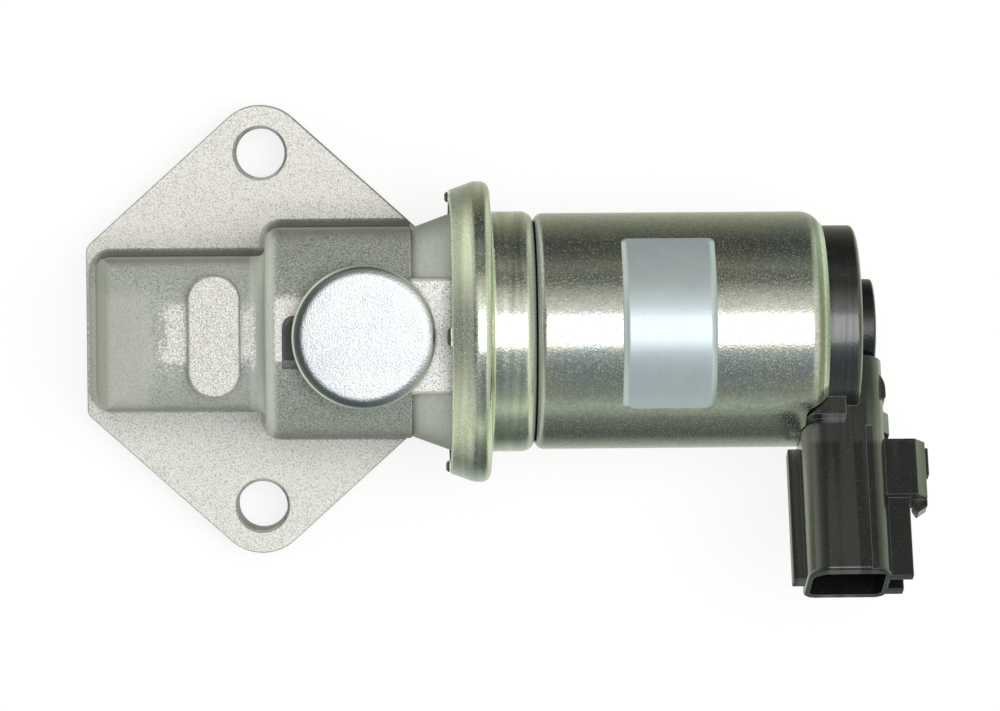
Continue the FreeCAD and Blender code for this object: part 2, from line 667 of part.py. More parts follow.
def socket_prism(corners, start, end, end_edge=0.0):
    """Prism away from the solenoid axis from corners (x, height across the socket)."""
    face = rounded_face(corners, lambda x, w: vec(x, -start, AXIS_HEIGHT + w))
    prism = face.extrude(vec(0, start - end, 0))
    if end_edge:
        rims = edges_on(prism, lambda point: near(point.y, -start) or near(point.y, -end))
        prism = prism.makeFillet(end_edge, rims)
    return leaned(prism)


def solenoid_can():
    shell = turned([
        (CAN_X, STEM_RADIUS),
        (CAN_X, CAN_RADIUS, CAN_SHOULDER),
        (CAN_END_X - CAN_ROLL_LENGTH, CAN_RADIUS, CAN_ROLL),
        (CAN_END_X, CAN_MOUTH_RADIUS + CAN_LIP_EDGE),
        (CAN_END_X, CAN_MOUTH_RADIUS),
        (CAP_FLANGE_END_X, CAN_MOUTH_RADIUS),
        (CAP_FLANGE_END_X, CAN_BORE_RADIUS, CAN_INNER_ROLL),
        (CAN_FLOOR_X, CAN_BORE_RADIUS, CAN_FLOOR_CORNER),
        (CAN_FLOOR_X, STEM_RADIUS),
    ])
    notch = socket_prism([
        (NOTCH_LEFT, NOTCH_REAR, NOTCH_CORNER),
        (FAR, NOTCH_REAR),
        (FAR, NOTCH_FRONT),
        (NOTCH_LEFT, NOTCH_FRONT, NOTCH_CORNER),
    ], OVER, CAN_RADIUS + OVER)
    return shell.cut(notch)


# The magnetic circuit

def fixed_pole():
    """Turned core: the plate closes the wide chamber, the stem enters the coil."""
    plate = CUP_RADIUS - COLLAR_WALL
    nose = POLE_RADIUS - TUBE_WALL
    core = turned([
        (PLATE_X, ROD_HOLE / 2),
        (PLATE_X, plate),
        (CUP_FLOOR_X, plate, CUP_SHOULDER - COLLAR_WALL),
        (CUP_FLOOR_X, STEM_RADIUS),
        (CAN_FLOOR_X, STEM_RADIUS),
        (CAN_FLOOR_X, POLE_RADIUS),
        (POLE_FACE_X - POLE_NOSE, POLE_RADIUS),
        (POLE_FACE_X - POLE_NOSE, nose),
        (POLE_FACE_X, nose, EDGE_BREAK),
        (POLE_FACE_X, ROD_HOLE / 2),
    ])
    seal_seat = rod(PLATE_X - OVER, PLATE_X + ROD_SEAL_LENGTH, ROD_SEAL_RADIUS)
    bush_seat = rod(POLE_FACE_X - POLE_BUSH_LENGTH, POLE_FACE_X + OVER, BUSH_BORE_RADIUS + POLE_BUSH_WALL)
    return core.cut(seal_seat).cut(bush_seat)


def rod_seal():
    return ring(PLATE_X, PLATE_X + ROD_SEAL_LENGTH, BUSH_BORE_RADIUS, ROD_SEAL_RADIUS)


def pole_bush():
    return ring(POLE_FACE_X - POLE_BUSH_LENGTH, POLE_FACE_X, BUSH_BORE_RADIUS,
                BUSH_BORE_RADIUS + POLE_BUSH_WALL)


def guide_tube():
    return ring(POLE_FACE_X - POLE_NOSE, WASHER_END_X, POLE_RADIUS - TUBE_WALL, POLE_RADIUS)


def coil_bobbin():
    bore = BOBBIN_BORE_RADIUS
    hub = bore + BOBBIN_HUB
    return turned([
        (BOBBIN_X, bore),
        (BOBBIN_X, BOBBIN_RADIUS),
        (BOBBIN_X + BOBBIN_FLANGE, BOBBIN_RADIUS),
        (BOBBIN_X + BOBBIN_FLANGE, hub),
        (BOBBIN_END_X - BOBBIN_FLANGE, hub),
        (BOBBIN_END_X - BOBBIN_FLANGE, BOBBIN_RADIUS),
        (BOBBIN_END_X, BOBBIN_RADIUS),
        (BOBBIN_END_X, bore),
    ])


def coil_winding():
    return ring(BOBBIN_X + BOBBIN_FLANGE, BOBBIN_END_X - BOBBIN_FLANGE,
                BOBBIN_BORE_RADIUS + BOBBIN_HUB, BOBBIN_RADIUS - WINDING_INSET)


def lead_slot():
    """Slot that lets both coil leads through the washer."""
    half = TERMINAL_THICKNESS / 2 + LEAD_CLEAR
    low = TERMINAL_ROOT - TERMINAL_STEP - TERMINAL_THICKNESS - LEAD_CLEAR
    high = TERMINAL_ROOT + LEAD_CLEAR
    return socket_prism([
        (BOBBIN_END_X - OVER, BLADE_HEIGHT - half),
        (WASHER_END_X + OVER, BLADE_HEIGHT - half),
        (WASHER_END_X + OVER, BLADE_HEIGHT + half),
        (BOBBIN_END_X - OVER, BLADE_HEIGHT + half),
    ], low, high)


def flux_washer():
    washer = ring(BOBBIN_END_X, WASHER_END_X, POLE_RADIUS, CAN_BORE_RADIUS)
    return washer.cut(lead_slot())


def armature():
    radius = POLE_RADIUS - TUBE_WALL - SLIDE_GAP
    body = turned([
        (ARMATURE_X, 0),
        (ARMATURE_X, radius, EDGE_BREAK),
        (ARMATURE_END_X, radius, EDGE_BREAK),
        (ARMATURE_END_X, 0),
    ])
    rod_bore = rod(ARMATURE_X - OVER, ARMATURE_X + ARMATURE_ROD_DEPTH, ROD_RADIUS)
    pocket = rod(LIGHT_SPRING_X, ARMATURE_END_X + OVER, LIGHT_BORE)
    return body.cut(rod_bore).cut(pocket)


# The valve

def valve_rod():
    return turned([
        (ROD_START_X, 0),
        (ROD_START_X, ROD_RADIUS, EDGE_BREAK),
        (ARMATURE_X + ARMATURE_ROD_DEPTH, ROD_RADIUS),
        (ARMATURE_X + ARMATURE_ROD_DEPTH, 0),
    ])


def seat_insert():
    return turned([
        (SEAT_X, SEAT_BORE / 2),
        (SEAT_X, SEAT_DIAMETER / 2, EDGE_BREAK),
        (DIVIDER_END_X, SEAT_DIAMETER / 2),
        (DIVIDER_END_X, SEAT_BORE / 2),
    ])


def poppet():
    return turned([
        (POPPET_X - POPPET_HUB_LENGTH, ROD_RADIUS),
        (POPPET_X - POPPET_HUB_LENGTH, POPPET_HUB / 2),
        (POPPET_X, POPPET_HUB / 2),
        (POPPET_X, POPPET_DIAMETER / 2, POPPET_EDGE),
        (FACE_X, POPPET_DIAMETER / 2, POPPET_EDGE),
        (FACE_X, FACE_BORE / 2),
        (FACE_X + FACE_THICKNESS, FACE_BORE / 2),
        (FACE_X + FACE_THICKNESS, ROD_RADIUS),
    ])


def poppet_face():
    return ring(FACE_X, FACE_X + FACE_THICKNESS, FACE_BORE / 2, POPPET_DIAMETER / 2 - POPPET_EDGE)


def poppet_clip():
    end = POPPET_X - POPPET_HUB_LENGTH
    clip = ring(end - CLIP_THICKNESS, end, ROD_RADIUS, CLIP_DIAMETER / 2)
    mouth = block(-FAR, FAR, -CLIP_MOUTH / 2, CLIP_MOUTH / 2, AXIS_HEIGHT, FAR)
    return clip.cut(mouth)


def rod_end_bush():
    head = NARROW_BORE_X + BUSH_HEAD_LENGTH
    return turned([
        (BUSH_X, 0),
        (BUSH_X, BUSH_BORE_RADIUS + BUSH_WALL),
        (NARROW_BORE_X, BUSH_BORE_RADIUS + BUSH_WALL),
        (NARROW_BORE_X, BUSH_HEAD / 2),
        (head, BUSH_HEAD / 2),
        (head, BUSH_BORE_RADIUS),
        (BUSH_X + BUSH_FLOOR, BUSH_BORE_RADIUS),
        (BUSH_X + BUSH_FLOOR, 0),
    ])


def coil_spring(x, x_end, radius, wire, turns):
    """Round wire on a helix about the solenoid axis between two faces."""
    height = x_end - x - wire
    helix = Part.makeHelix(height / turns, height, radius)
    circle = Part.Wire(Part.makeCircle(wire / 2, vec(radius, 0, 0), vec(0, 1, 0)))
    solid = Part.Wire(helix.Edges).makePipeShell([circle], True, True)
    solid.rotate(vec(0, 0, 0), vec(0, 1, 0), 90)
    solid.translate(vec(x + wire / 2, 0, AXIS_HEIGHT))
    return solid


def return_spring():
    start = NARROW_BORE_X + BUSH_HEAD_LENGTH
    return coil_spring(start, POPPET_X, RETURN_RADIUS, RETURN_WIRE, RETURN_TURNS)


def armature_spring():
    end = LIGHT_SPRING_X + LIGHT_SPRING_LENGTH
    return coil_spring(LIGHT_SPRING_X, end, LIGHT_RADIUS, LIGHT_WIRE, LIGHT_TURNS)


# The end cap with its connector

def socket_corners():
    return [
        (SOCKET_LEFT, SOCKET_REAR, SOCKET_REAR_CORNER),
        (SOCKET_RIGHT, SOCKET_REAR, SOCKET_REAR_CORNER),
        (SOCKET_RIGHT, SOCKET_FRONT, SOCKET_FRONT_CORNER),
        (SOCKET_LEFT, SOCKET_FRONT, SOCKET_FRONT_CORNER),
    ]


def socket_tube():
    """Socket wall: full width clear of the can, narrower where it passes the can's notch."""
    clear = CAN_RADIUS + 2 * PART_GAP
    tube = socket_prism(socket_corners(), SOCKET_ROOT, SOCKET_REACH)
    mouth = max(tube.Faces, key=lambda face: -face.CenterOfMass.y)
    tube = tube.makeFillet(MOUTH_EDGE, mouth.Edges)
    strip = socket_prism([
        (SOCKET_RIGHT - FACE_STEP_WIDTH, SOCKET_FRONT - FACE_STEP),
        (SOCKET_RIGHT + OVER, SOCKET_FRONT - FACE_STEP),
        (SOCKET_RIGHT + OVER, SOCKET_FRONT + OVER),
        (SOCKET_RIGHT - FACE_STEP_WIDTH, SOCKET_FRONT + OVER),
    ], CAN_RADIUS, SOCKET_REACH + OVER)
    return tube.cut(strip).cut(rod(0, NOTCH_LEFT + PART_GAP, clear))


def left_rail():
    return socket_prism([
        (SOCKET_LEFT - LEFT_RAIL, LEFT_RAIL_REAR, RAIL_EDGE),
        (SOCKET_LEFT + RAIL_ROOT, LEFT_RAIL_REAR),
        (SOCKET_LEFT + RAIL_ROOT, LEFT_RAIL_FRONT),
        (SOCKET_LEFT - LEFT_RAIL, LEFT_RAIL_FRONT, RAIL_EDGE),
    ], RAIL_START, SOCKET_REACH - LEFT_RAIL_SETBACK, RAIL_END_EDGE)


def right_rails():
    main = socket_prism([
        (SOCKET_RIGHT - RAIL_ROOT, RIGHT_RAIL_REAR),
        (SOCKET_RIGHT + RIGHT_RAIL, RIGHT_RAIL_REAR, RAIL_EDGE),
        (SOCKET_RIGHT + RIGHT_RAIL, RIGHT_RAIL_FRONT, RAIL_EDGE),
        (SOCKET_RIGHT - RAIL_ROOT, RIGHT_RAIL_FRONT),
    ], LATCH_START, SOCKET_REACH, RAIL_END_EDGE)
    back = socket_prism([
        (SOCKET_RIGHT - RAIL_ROOT, BACK_RAIL_REAR),
        (SOCKET_RIGHT + BACK_RAIL, BACK_RAIL_REAR, RAIL_EDGE),
        (SOCKET_RIGHT + BACK_RAIL, BACK_RAIL_FRONT, RAIL_EDGE),
        (SOCKET_RIGHT - RAIL_ROOT, BACK_RAIL_FRONT),
    ], LATCH_START, SOCKET_REACH, RAIL_END_EDGE)
    return main.fuse(back)


def latch():
    """Catch for the mating plug: a bevelled block with a hooked end."""
    outer = SOCKET_RIGHT + LATCH_REACH
    catch = socket_prism([
        (SOCKET_RIGHT - RAIL_ROOT, LATCH_REAR),
        (outer, LATCH_REAR, LATCH_EDGE),
        (outer, LATCH_FRONT - LATCH_BEVEL, RAIL_EDGE),
        (outer - LATCH_BEVEL, LATCH_FRONT, RAIL_EDGE),
        (SOCKET_RIGHT - RAIL_ROOT, LATCH_FRONT),
    ], LATCH_START, LATCH_END, RAIL_END_EDGE)
    inner = SOCKET_RIGHT + RIGHT_RAIL + LATCH_HOOK_INSET
    bend = LATCH_HOOK / 2
    hook = rounded_face([
        (outer, LATCH_END - OVER),
        (inner, LATCH_END - OVER),
        (inner, LATCH_END + bend, bend / 2),
        (outer - LATCH_BEVEL, LATCH_END + LATCH_HOOK, RAIL_EDGE),
        (outer, LATCH_END + bend, bend / 2),
    ], lambda x, reach: vec(x, -reach, AXIS_HEIGHT - LATCH_HOOK_THICKNESS / 2))
    key_start = LATCH_START + LATCH_KEY_SETBACK
    key = socket_prism([
        (outer - LATCH_KEY, LATCH_KEY_REAR),
        (outer + LATCH_KEY, LATCH_KEY_REAR, RAIL_EDGE),
        (outer + LATCH_KEY, LATCH_KEY_FRONT, RAIL_EDGE),
        (outer - LATCH_KEY, LATCH_KEY_FRONT),
    ], key_start, key_start + LATCH_KEY_LENGTH, RAIL_END_EDGE)
    return catch.multiFuse([leaned(hook.extrude(vec(0, 0, LATCH_HOOK_THICKNESS))), key])


def shoulder():
    """Rounded root of the socket where it rises over the face of the end cap."""
    face = rounded_face([
        (SOCKET_MIDDLE, SHOULDER_START),
        (CAP_FACE_X + SHOULDER_PROUD, SHOULDER_START, SHOULDER_ROUND),
        (CAP_FACE_X + SHOULDER_PROUD, SHOULDER_END, SHOULDER_EDGE),
        (SOCKET_MIDDLE, SHOULDER_END),
    ], lambda x, reach: vec(x, -reach, AXIS_HEIGHT + SHOULDER_REAR))
    side_boss = socket_prism([
        (SOCKET_RIGHT - RAIL_ROOT, SHOULDER_REAR),
        (SOCKET_RIGHT + BOSS_PROUD, SHOULDER_REAR, SHOULDER_EDGE),
        (SOCKET_RIGHT + BOSS_PROUD, SHOULDER_FRONT / 2, SHOULDER_EDGE),
        (SOCKET_RIGHT - RAIL_ROOT, SHOULDER_FRONT),
    ], BOSS_START, BOSS_END, RAIL_END_EDGE)
    return leaned(face.extrude(vec(0, 0, SHOULDER_FRONT - SHOULDER_REAR))).fuse(side_boss)


def ledge():
    """Small plate that fills the front of the can's notch."""
    left = NOTCH_LEFT + PART_GAP
    return socket_prism([
        (left, SOCKET_FRONT - SOCKET_FRONT_WALL),
        (left + LEDGE_WIDTH, SOCKET_FRONT - SOCKET_FRONT_WALL),
        (left + LEDGE_WIDTH, LEDGE_FRONT, RAIL_EDGE),
        (left, LEDGE_FRONT, NOTCH_CORNER),
    ], SOCKET_ROOT, CAN_RADIUS - LEDGE_DROP)


def socket_cavity():
    wall = SOCKET_SIDE_WALL
    rear_corner = SOCKET_REAR_CORNER - wall
    return socket_prism([
        (SOCKET_LEFT + wall, CAVITY_REAR, rear_corner),
        (SOCKET_RIGHT - wall, CAVITY_REAR, rear_corner),
        (SOCKET_RIGHT - wall, CAVITY_FRONT, CAVITY_CORNER),
        (SOCKET_LEFT + wall, CAVITY_FRONT, SOCKET_FRONT_CORNER - wall),
    ], SOCKET_REACH - SOCKET_DEPTH, SOCKET_REACH + OVER)


def terminal(side):
    """Blade in the socket with a lead that turns along the axis to the coil."""
    x = SOCKET_MIDDLE + side * TERMINAL_PITCH / 2
    root = TERMINAL_ROOT if side < 0 else TERMINAL_ROOT - TERMINAL_STEP
    half = TERMINAL_WIDTH / 2
    low = BLADE_HEIGHT - TERMINAL_THICKNESS / 2
    tip = TERMINAL_END - TERMINAL_TIP
    outline = [
        (x - half, root),
        (x - half, tip),
        (x - half / 2, TERMINAL_END),
        (x + half / 2, TERMINAL_END),
        (x + half, tip),
        (x + half, root - TERMINAL_THICKNESS),
        (BOBBIN_END_X, root - TERMINAL_THICKNESS),
        (BOBBIN_END_X, root),
    ]
    face = rounded_face(outline, lambda along, reach: vec(along, -reach, AXIS_HEIGHT + low))
    return leaned(face.extrude(vec(0, 0, TERMINAL_THICKNESS)))


def connector_housing():
    cover = turned([
        (CAP_FLANGE_X, 0),
        (CAP_FLANGE_X, CAP_FLANGE_RADIUS, EDGE_BREAK),
        (CAP_FLANGE_END_X, CAP_FLANGE_RADIUS, CAN_INNER_ROLL),
        (CAP_FLANGE_END_X, CAP_BODY_RADIUS),
        (CAP_FACE_X, CAP_BODY_RADIUS, CAP_BODY_EDGE),
        (CAP_FACE_X, HUB_RADIUS),
        (CAP_FACE_X + HUB_LENGTH, HUB_RADIUS, HUB_EDGE),
        (CAP_FACE_X + HUB_LENGTH, 0),
    ])
    pieces = [socket_tube(), left_rail(), right_rails(), latch(), shoulder(), ledge()]
    housing = cover.multiFuse(pieces).removeSplitter()
    spring_bore = rod(CAP_FLANGE_X - OVER, LIGHT_SPRING_X + LIGHT_SPRING_LENGTH, LIGHT_BORE)
    housing = housing.cut(socket_cavity()).cut(spring_bore)
    return housing.cut(terminal(-1)).cut(terminal(1)).removeSplitter()


def end_seal():
    return ring(WASHER_END_X, CAP_FLANGE_X, CAP_FLANGE_RADIUS - END_SEAL_WIDTH, CAP_FLANGE_RADIUS)


def rating_label():
    """Film wrapped on the can, with round corners."""
    outer = CAN_RADIUS + LABEL_THICKNESS
    film = ring(LABEL_X, LABEL_X + LABEL_WIDTH, CAN_RADIUS, outer)
    half = outer * math.sin(LABEL_LENGTH / 2 / CAN_RADIUS)
    mask = along_z([
        (LABEL_X, -half, LABEL_CORNER),
        (LABEL_X + LABEL_WIDTH, -half, LABEL_CORNER),
        (LABEL_X + LABEL_WIDTH, half, LABEL_CORNER),
        (LABEL_X, half, LABEL_CORNER),
    ], AXIS_HEIGHT, AXIS_HEIGHT + outer + OVER)
    mask.rotate(AXIS_POINT, AXIS_WAY, -LABEL_TURN)
    return film.common(mask)


NODES = {
    "valve_body": valve_body,
    "boss_cap": boss_cap,
    "crimp_collar": crimp_collar,
    "body_seal": body_seal,
    "solenoid_can": solenoid_can,
    "rating_label": rating_label,
    "fixed_pole": fixed_pole,
    "rod_seal": rod_seal,
    "pole_bush": pole_bush,
    "guide_tube": guide_tube,
    "coil_bobbin": coil_bobbin,
    "coil_winding": coil_winding,
    "flux_washer": flux_washer,
    "end_seal": end_seal,
    "connector_housing": connector_housing,
    "terminal_left": lambda: terminal(-1),
    "terminal_right": lambda: terminal(1),
    "seat_insert": seat_insert,
    "rod_end_bush": rod_end_bush,
    "armature": armature,
    "valve_rod": valve_rod,
    "poppet": poppet,
    "poppet_face": poppet_face,
    "poppet_clip": poppet_clip,
    "return_spring": return_spring,
    "armature_spring": armature_spring,
}

os.makedirs("parts", exist_ok=True)
for name, make in NODES.items():
    shape = make()
    solids = shape.Solids
    if len(solids) == 1:
        shape = solids[0]
    shape.exportStep("parts/" + name + ".step")
    print(name, len(solids), "solid, valid", shape.isValid(), "volume", round(shape.Volume, 1))
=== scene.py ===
# %% [markdown]
# An idle air control valve is a small solenoid bolted to a car's intake. A die-cast body carries
# the air, a zinc-plated can holds the coil, and a black moulding closes the end and takes the plug.
# This notebook dresses the packed model of that valve for a studio picture. The packed model is
# the frame: every piece here is made in its place, in metres, with +Z up and the solenoid along X.

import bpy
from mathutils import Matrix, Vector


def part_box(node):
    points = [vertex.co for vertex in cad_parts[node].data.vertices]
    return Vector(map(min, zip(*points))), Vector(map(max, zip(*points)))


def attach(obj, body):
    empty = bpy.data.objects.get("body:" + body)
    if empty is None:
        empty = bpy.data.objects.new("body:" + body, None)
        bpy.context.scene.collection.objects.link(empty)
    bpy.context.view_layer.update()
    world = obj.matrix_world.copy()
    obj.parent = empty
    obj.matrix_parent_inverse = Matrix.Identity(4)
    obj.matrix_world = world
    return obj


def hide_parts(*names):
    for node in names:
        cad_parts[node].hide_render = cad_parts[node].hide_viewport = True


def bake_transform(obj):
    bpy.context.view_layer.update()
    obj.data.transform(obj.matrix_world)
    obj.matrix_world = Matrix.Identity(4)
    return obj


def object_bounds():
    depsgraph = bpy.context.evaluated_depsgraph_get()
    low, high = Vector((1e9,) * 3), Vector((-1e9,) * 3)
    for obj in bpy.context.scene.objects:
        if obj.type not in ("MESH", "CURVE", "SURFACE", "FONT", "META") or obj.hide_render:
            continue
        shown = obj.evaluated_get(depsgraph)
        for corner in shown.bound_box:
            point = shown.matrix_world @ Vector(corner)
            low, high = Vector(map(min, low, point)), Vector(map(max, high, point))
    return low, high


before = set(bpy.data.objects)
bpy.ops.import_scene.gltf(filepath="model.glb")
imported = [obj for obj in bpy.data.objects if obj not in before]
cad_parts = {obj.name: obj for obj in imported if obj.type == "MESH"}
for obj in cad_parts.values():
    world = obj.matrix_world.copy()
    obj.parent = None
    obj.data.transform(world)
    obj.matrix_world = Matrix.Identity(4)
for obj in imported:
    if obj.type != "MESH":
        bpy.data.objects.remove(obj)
cad_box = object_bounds()

# %% [markdown]
# Measures could be typed in again, but they come from the frame, so that the dress follows the
# solids. The solenoid axis is the middle of the can's box, and half its height is the radius.

import bpy
import numpy as np
from mathutils import Matrix, Vector
from mathutils.geometry import convex_hull_2d

MM = 0.001


def span(node):
    """Lowest and highest corner of a node of the frame, as two arrays in metres."""
    low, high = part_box(node)
    return np.array(low), np.array(high)


can_low, can_high = span("solenoid_can")
AXIS_Z = float(can_low[2] + can_high[2]) / 2
CAN_RADIUS = float(can_high[2] - can_low[2]) / 2
print("solenoid axis", round(AXIS_Z / MM, 2), "mm up, can radius", round(CAN_RADIUS / MM, 2), "mm")

# %% [markdown]
# The picture was taken almost straight down with a long lens. A camera could be set by eye, but
# here its place was worked out from the two bolt holes, the axis and the can's ends, so it stands
# a little off the vertical as the real one did.

# %% Camera
CAMERA_PLACE = (14.87 * MM, 23.91 * MM, 645.6 * MM)
CAMERA_YAW = 1.7            # degrees that the view leans towards +X
CAMERA_TILT = 2.5           # degrees that the view leans towards -Y
CAMERA_ROLL = 0.389
CAMERA_LENS = 162.0         # millimetres, with a sensor as wide as below
SENSOR_WIDTH = 36.0
NEAREST = 0.01              # metres, where the camera begins to see


def look_down(yaw, tilt, roll):
    """Camera turn as a matrix: yaw about Y, then tilt about X, then roll about its own axis."""
    turns = [Matrix.Rotation(np.radians(roll), 3, "Z"), Matrix.Rotation(np.radians(tilt), 3, "X"),
             Matrix.Rotation(np.radians(yaw), 3, "Y")]
    return (turns[0] @ turns[1] @ turns[2]).transposed()


camera = bpy.data.objects.new("camera", bpy.data.cameras.new("camera"))
bpy.context.scene.collection.objects.link(camera)
camera.matrix_world = (Matrix.Translation(Vector(CAMERA_PLACE))
                       @ look_down(CAMERA_YAW, CAMERA_TILT, CAMERA_ROLL).to_4x4())
camera.data.lens = CAMERA_LENS
camera.data.sensor_width = SENSOR_WIDTH
camera.data.clip_start = NEAREST
bpy.context.scene.camera = camera
print("camera stands", round(camera.location.z / MM), "mm above the floor")

# %% [markdown]
# Shader sums read best as sums. They could be wired one Math node at a time, but a class that
# wraps a socket and turns + - * / into Math nodes keeps each formula on one line. Most masks are
# steps: a number rises from 0 to 1, or falls, between two places.

# %% Values that add up


class Value:
    """A number that varies over a surface. Sums on it add Math nodes to its network."""

    def __init__(self, network, socket):
        self.network, self.socket = network, socket

    def __add__(self, other):
        return self.network.maths("ADD", self, other)

    def __radd__(self, other):
        return self.network.maths("ADD", other, self)

    def __sub__(self, other):
        return self.network.maths("SUBTRACT", self, other)

    def __rsub__(self, other):
        return self.network.maths("SUBTRACT", other, self)

    def __mul__(self, other):
        return self.network.maths("MULTIPLY", self, other)

    def __rmul__(self, other):
        return self.network.maths("MULTIPLY", other, self)

    def __truediv__(self, other):
        return self.network.maths("DIVIDE", self, other)

    def rise(self, low, high):
        """0 up to low and 1 from high on, with a smooth step between them."""
        return self.network.node("MapRange", {"interpolation_type": "SMOOTHSTEP"},
                                 {"Value": self, "From Min": low, "From Max": high})

    def fall(self, low, high):
        """1 up to low and 0 from high on, with a smooth step between them."""
        return 1 - self.rise(low, high)

    def window(self, start, full, last, end):
        """Rises from 0 at start to 1 at full, and falls again from last to end."""
        return self.rise(start, full) * self.fall(last, end)

    def between(self, low, high, soft=0.1):
        """1 from low to high and 0 elsewhere, with steps as wide as soft just outside them."""
        return self.window(low - soft, low, high, high + soft)

    def size(self):
        """The number without its sign."""
        return self.network.maths("ABSOLUTE", self, 0.0)


print("a value knows", ", ".join(n for n in vars(Value) if n[0] != "_"))

# %% [markdown]
# A network adds nodes to any node tree. Nodes could be added with a few lines each, but one method
# for all of them keeps a finish short. A node's settings, such as a ramp's stops, are set before
# its sockets, because a setting can change which sockets there are.

# %% Network of nodes


class Network:
    """A node tree with one way to add a node and short ways to add sums and mixes."""

    def __init__(self, tree):
        self.tree = tree

    def put(self, socket, value):
        """Give a socket a link, a colour or a number."""
        if isinstance(value, Value):
            self.tree.links.new(value.socket, socket)
        elif socket.type == "RGBA" and len(value) == 3:
            socket.default_value = (*value, 1.0)
        else:
            socket.default_value = value

    def node(self, kind, settings, inputs, out=0):
        """Add a shader node, set its settings and then its sockets, and return one output."""
        made = self.tree.nodes.new("ShaderNode" + kind)
        for name, value in settings.items():
            if name == "stops":
                self.set_stops(made.color_ramp, value)
            else:
                setattr(made, name, value)
        for name, value in inputs.items():
            self.put(made.inputs[name], value)
        return Value(self, made.outputs[out])

    def set_stops(self, ramp, stops):
        """Give a colour ramp its stops, each a place from 0 to 1 and a colour."""
        for index, (place, colour) in enumerate(stops):
            stop = ramp.elements[index] if index < 2 else ramp.elements.new(place)
            stop.position = place
            stop.color = (*colour, 1.0)

    def maths(self, operation, first, second):
        """Sum of two values or numbers, as one Math node."""
        return self.node("Math", {"operation": operation}, {0: first, 1: second})

    def mix(self, factor, first, second):
        """Colour that goes from first to second as factor goes from 0 to 1."""
        return self.node("Mix", {"data_type": "RGBA"}, {0: factor, 6: first, 7: second}, 2)


print("a network knows", ", ".join(n for n in vars(Network) if n[0] != "_"))

# %% [markdown]
# Patterns are what masks are made from: noise, places, the way a face looks, edges and corners.
# Painted images could do this, but patterns worked out from the object's own coordinates stay
# put from every side and need no image. Lengths that they take or give are in millimetres, and
# only places are in metres, as on the object.

# %% Patterns over a surface
LOOKS = 6                   # rays by which corners and edges are felt for
EDGE_LEAN = (0.01, 0.16)    # lean of a rounded normal at which an edge begins and is full


class Patterns(Network):
    """A material's network, with the patterns that its finish is made from."""

    def place(self):
        """Where on the object the surface is, in metres."""
        return self.node("TexCoord", {}, {}, "Object")

    def along(self, axis):
        """Object coordinate along X, Y or Z."""
        return self.node("SeparateXYZ", {}, {"Vector": self.place()}, axis) / MM

    def distance(self, centre):
        """Distance from centre, a point in metres, to where the surface is."""
        ends = {0: self.place(), 1: centre}
        return self.node("VectorMath", {"operation": "DISTANCE"}, ends, "Value") / MM

    def facing(self, axis):
        """Part of the surface's own normal along an axis: 1 where it faces that way, -1 away."""
        normal = self.node("TexCoord", {}, {}, "Normal")
        return self.node("SeparateXYZ", {}, {"Vector": normal}, axis)

    def noise(self, size, detail=2.0, vector=None):
        """Cloudy noise from 0 to 1 whose patches are size across."""
        inputs = {"Vector": vector or self.place(), "Scale": 1 / (size * MM), "Detail": detail}
        return self.node("TexNoise", {}, inputs)

    def drawn_noise(self, size, detail, squeeze):
        """Noise in rings round X, because coordinates across X are squeezed before it."""
        scaled = self.node("Mapping", {}, {"Vector": self.place(), "Scale": (1, squeeze, squeeze)})
        return self.noise(size, detail, scaled)

    def openness(self, reach):
        """How open the surface is within reach: 1 in the open, towards 0 down in a corner."""
        return self.node("AmbientOcclusion", {"samples": LOOKS}, {"Distance": reach * MM}, "AO")

    def rounded(self, radius):
        """The normal that the surface would have with its sharp edges rounded."""
        return self.node("Bevel", {"samples": LOOKS}, {"Radius": radius * MM})

    def edges(self, radius):
        """1 along sharp edges, within about radius, and 0 on smooth parts."""
        both = {0: self.rounded(radius), 1: self.node("NewGeometry", {}, {}, "Normal")}
        same = self.node("VectorMath", {"operation": "DOT_PRODUCT"}, both, "Value")
        return (1 - same).rise(*EDGE_LEAN)


print("an edge shows where its rounded normal leans by", EDGE_LEAN[0], "or more")

# %% [markdown]
# A finish is one material. Its colour is laid on as a painter would: a ground first, and then
# each further colour where its mask says. Only what varies over the surface gets a network.
# What is the same all over is a plain number on the shader's own socket.

# %% Finish of a material


class Finish(Patterns):
    """One material: a Principled shader, its colour so far, and the network that feeds it."""

    def __init__(self, name, constants):
        self.material = bpy.data.materials.new(name)
        self.material.use_nodes = True
        super().__init__(self.material.node_tree)
        self.shader = next(n for n in self.tree.nodes if n.type == "BSDF_PRINCIPLED")
        for socket, value in constants.items():
            self.feed(socket, value)

    def feed(self, name, value):
        """Put a number, colour or link on one socket of the shader."""
        self.put(self.shader.inputs[name], value)

    def ground(self, factor, first, second):
        """Begin the colour with one that goes from first to second."""
        self.colour = self.mix(factor, first, second)

    def paint(self, mask, colour):
        """Lay a colour over what is there, as far as mask is above 0."""
        self.colour = self.mix(mask, self.colour, colour)

    def bump(self, height, depth, edge=0.0):
        """Feed the shader's normal with a height that is depth from 0 to 1.

        With an edge, sharp edges first shade as if they were rounded by that radius."""
        inputs = {"Height": height, "Distance": depth * MM}
        if edge:
            inputs["Normal"] = self.rounded(edge)
        self.feed("Normal", self.node("Bump", {}, inputs))

    def done(self):
        """Feed the colour to the shader and return the material."""
        self.feed("Base Color", self.colour)
        return self.material


def dress(material, *nodes):
    """Give nodes of the frame one material."""
    for node in nodes:
        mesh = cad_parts[node].data
        mesh.materials.clear()
        mesh.materials.append(material)
    print(material.name, "on", ", ".join(nodes))


print("finishes are laid on with", ", ".join(n for n in vars(Finish) if n[0] != "_"))

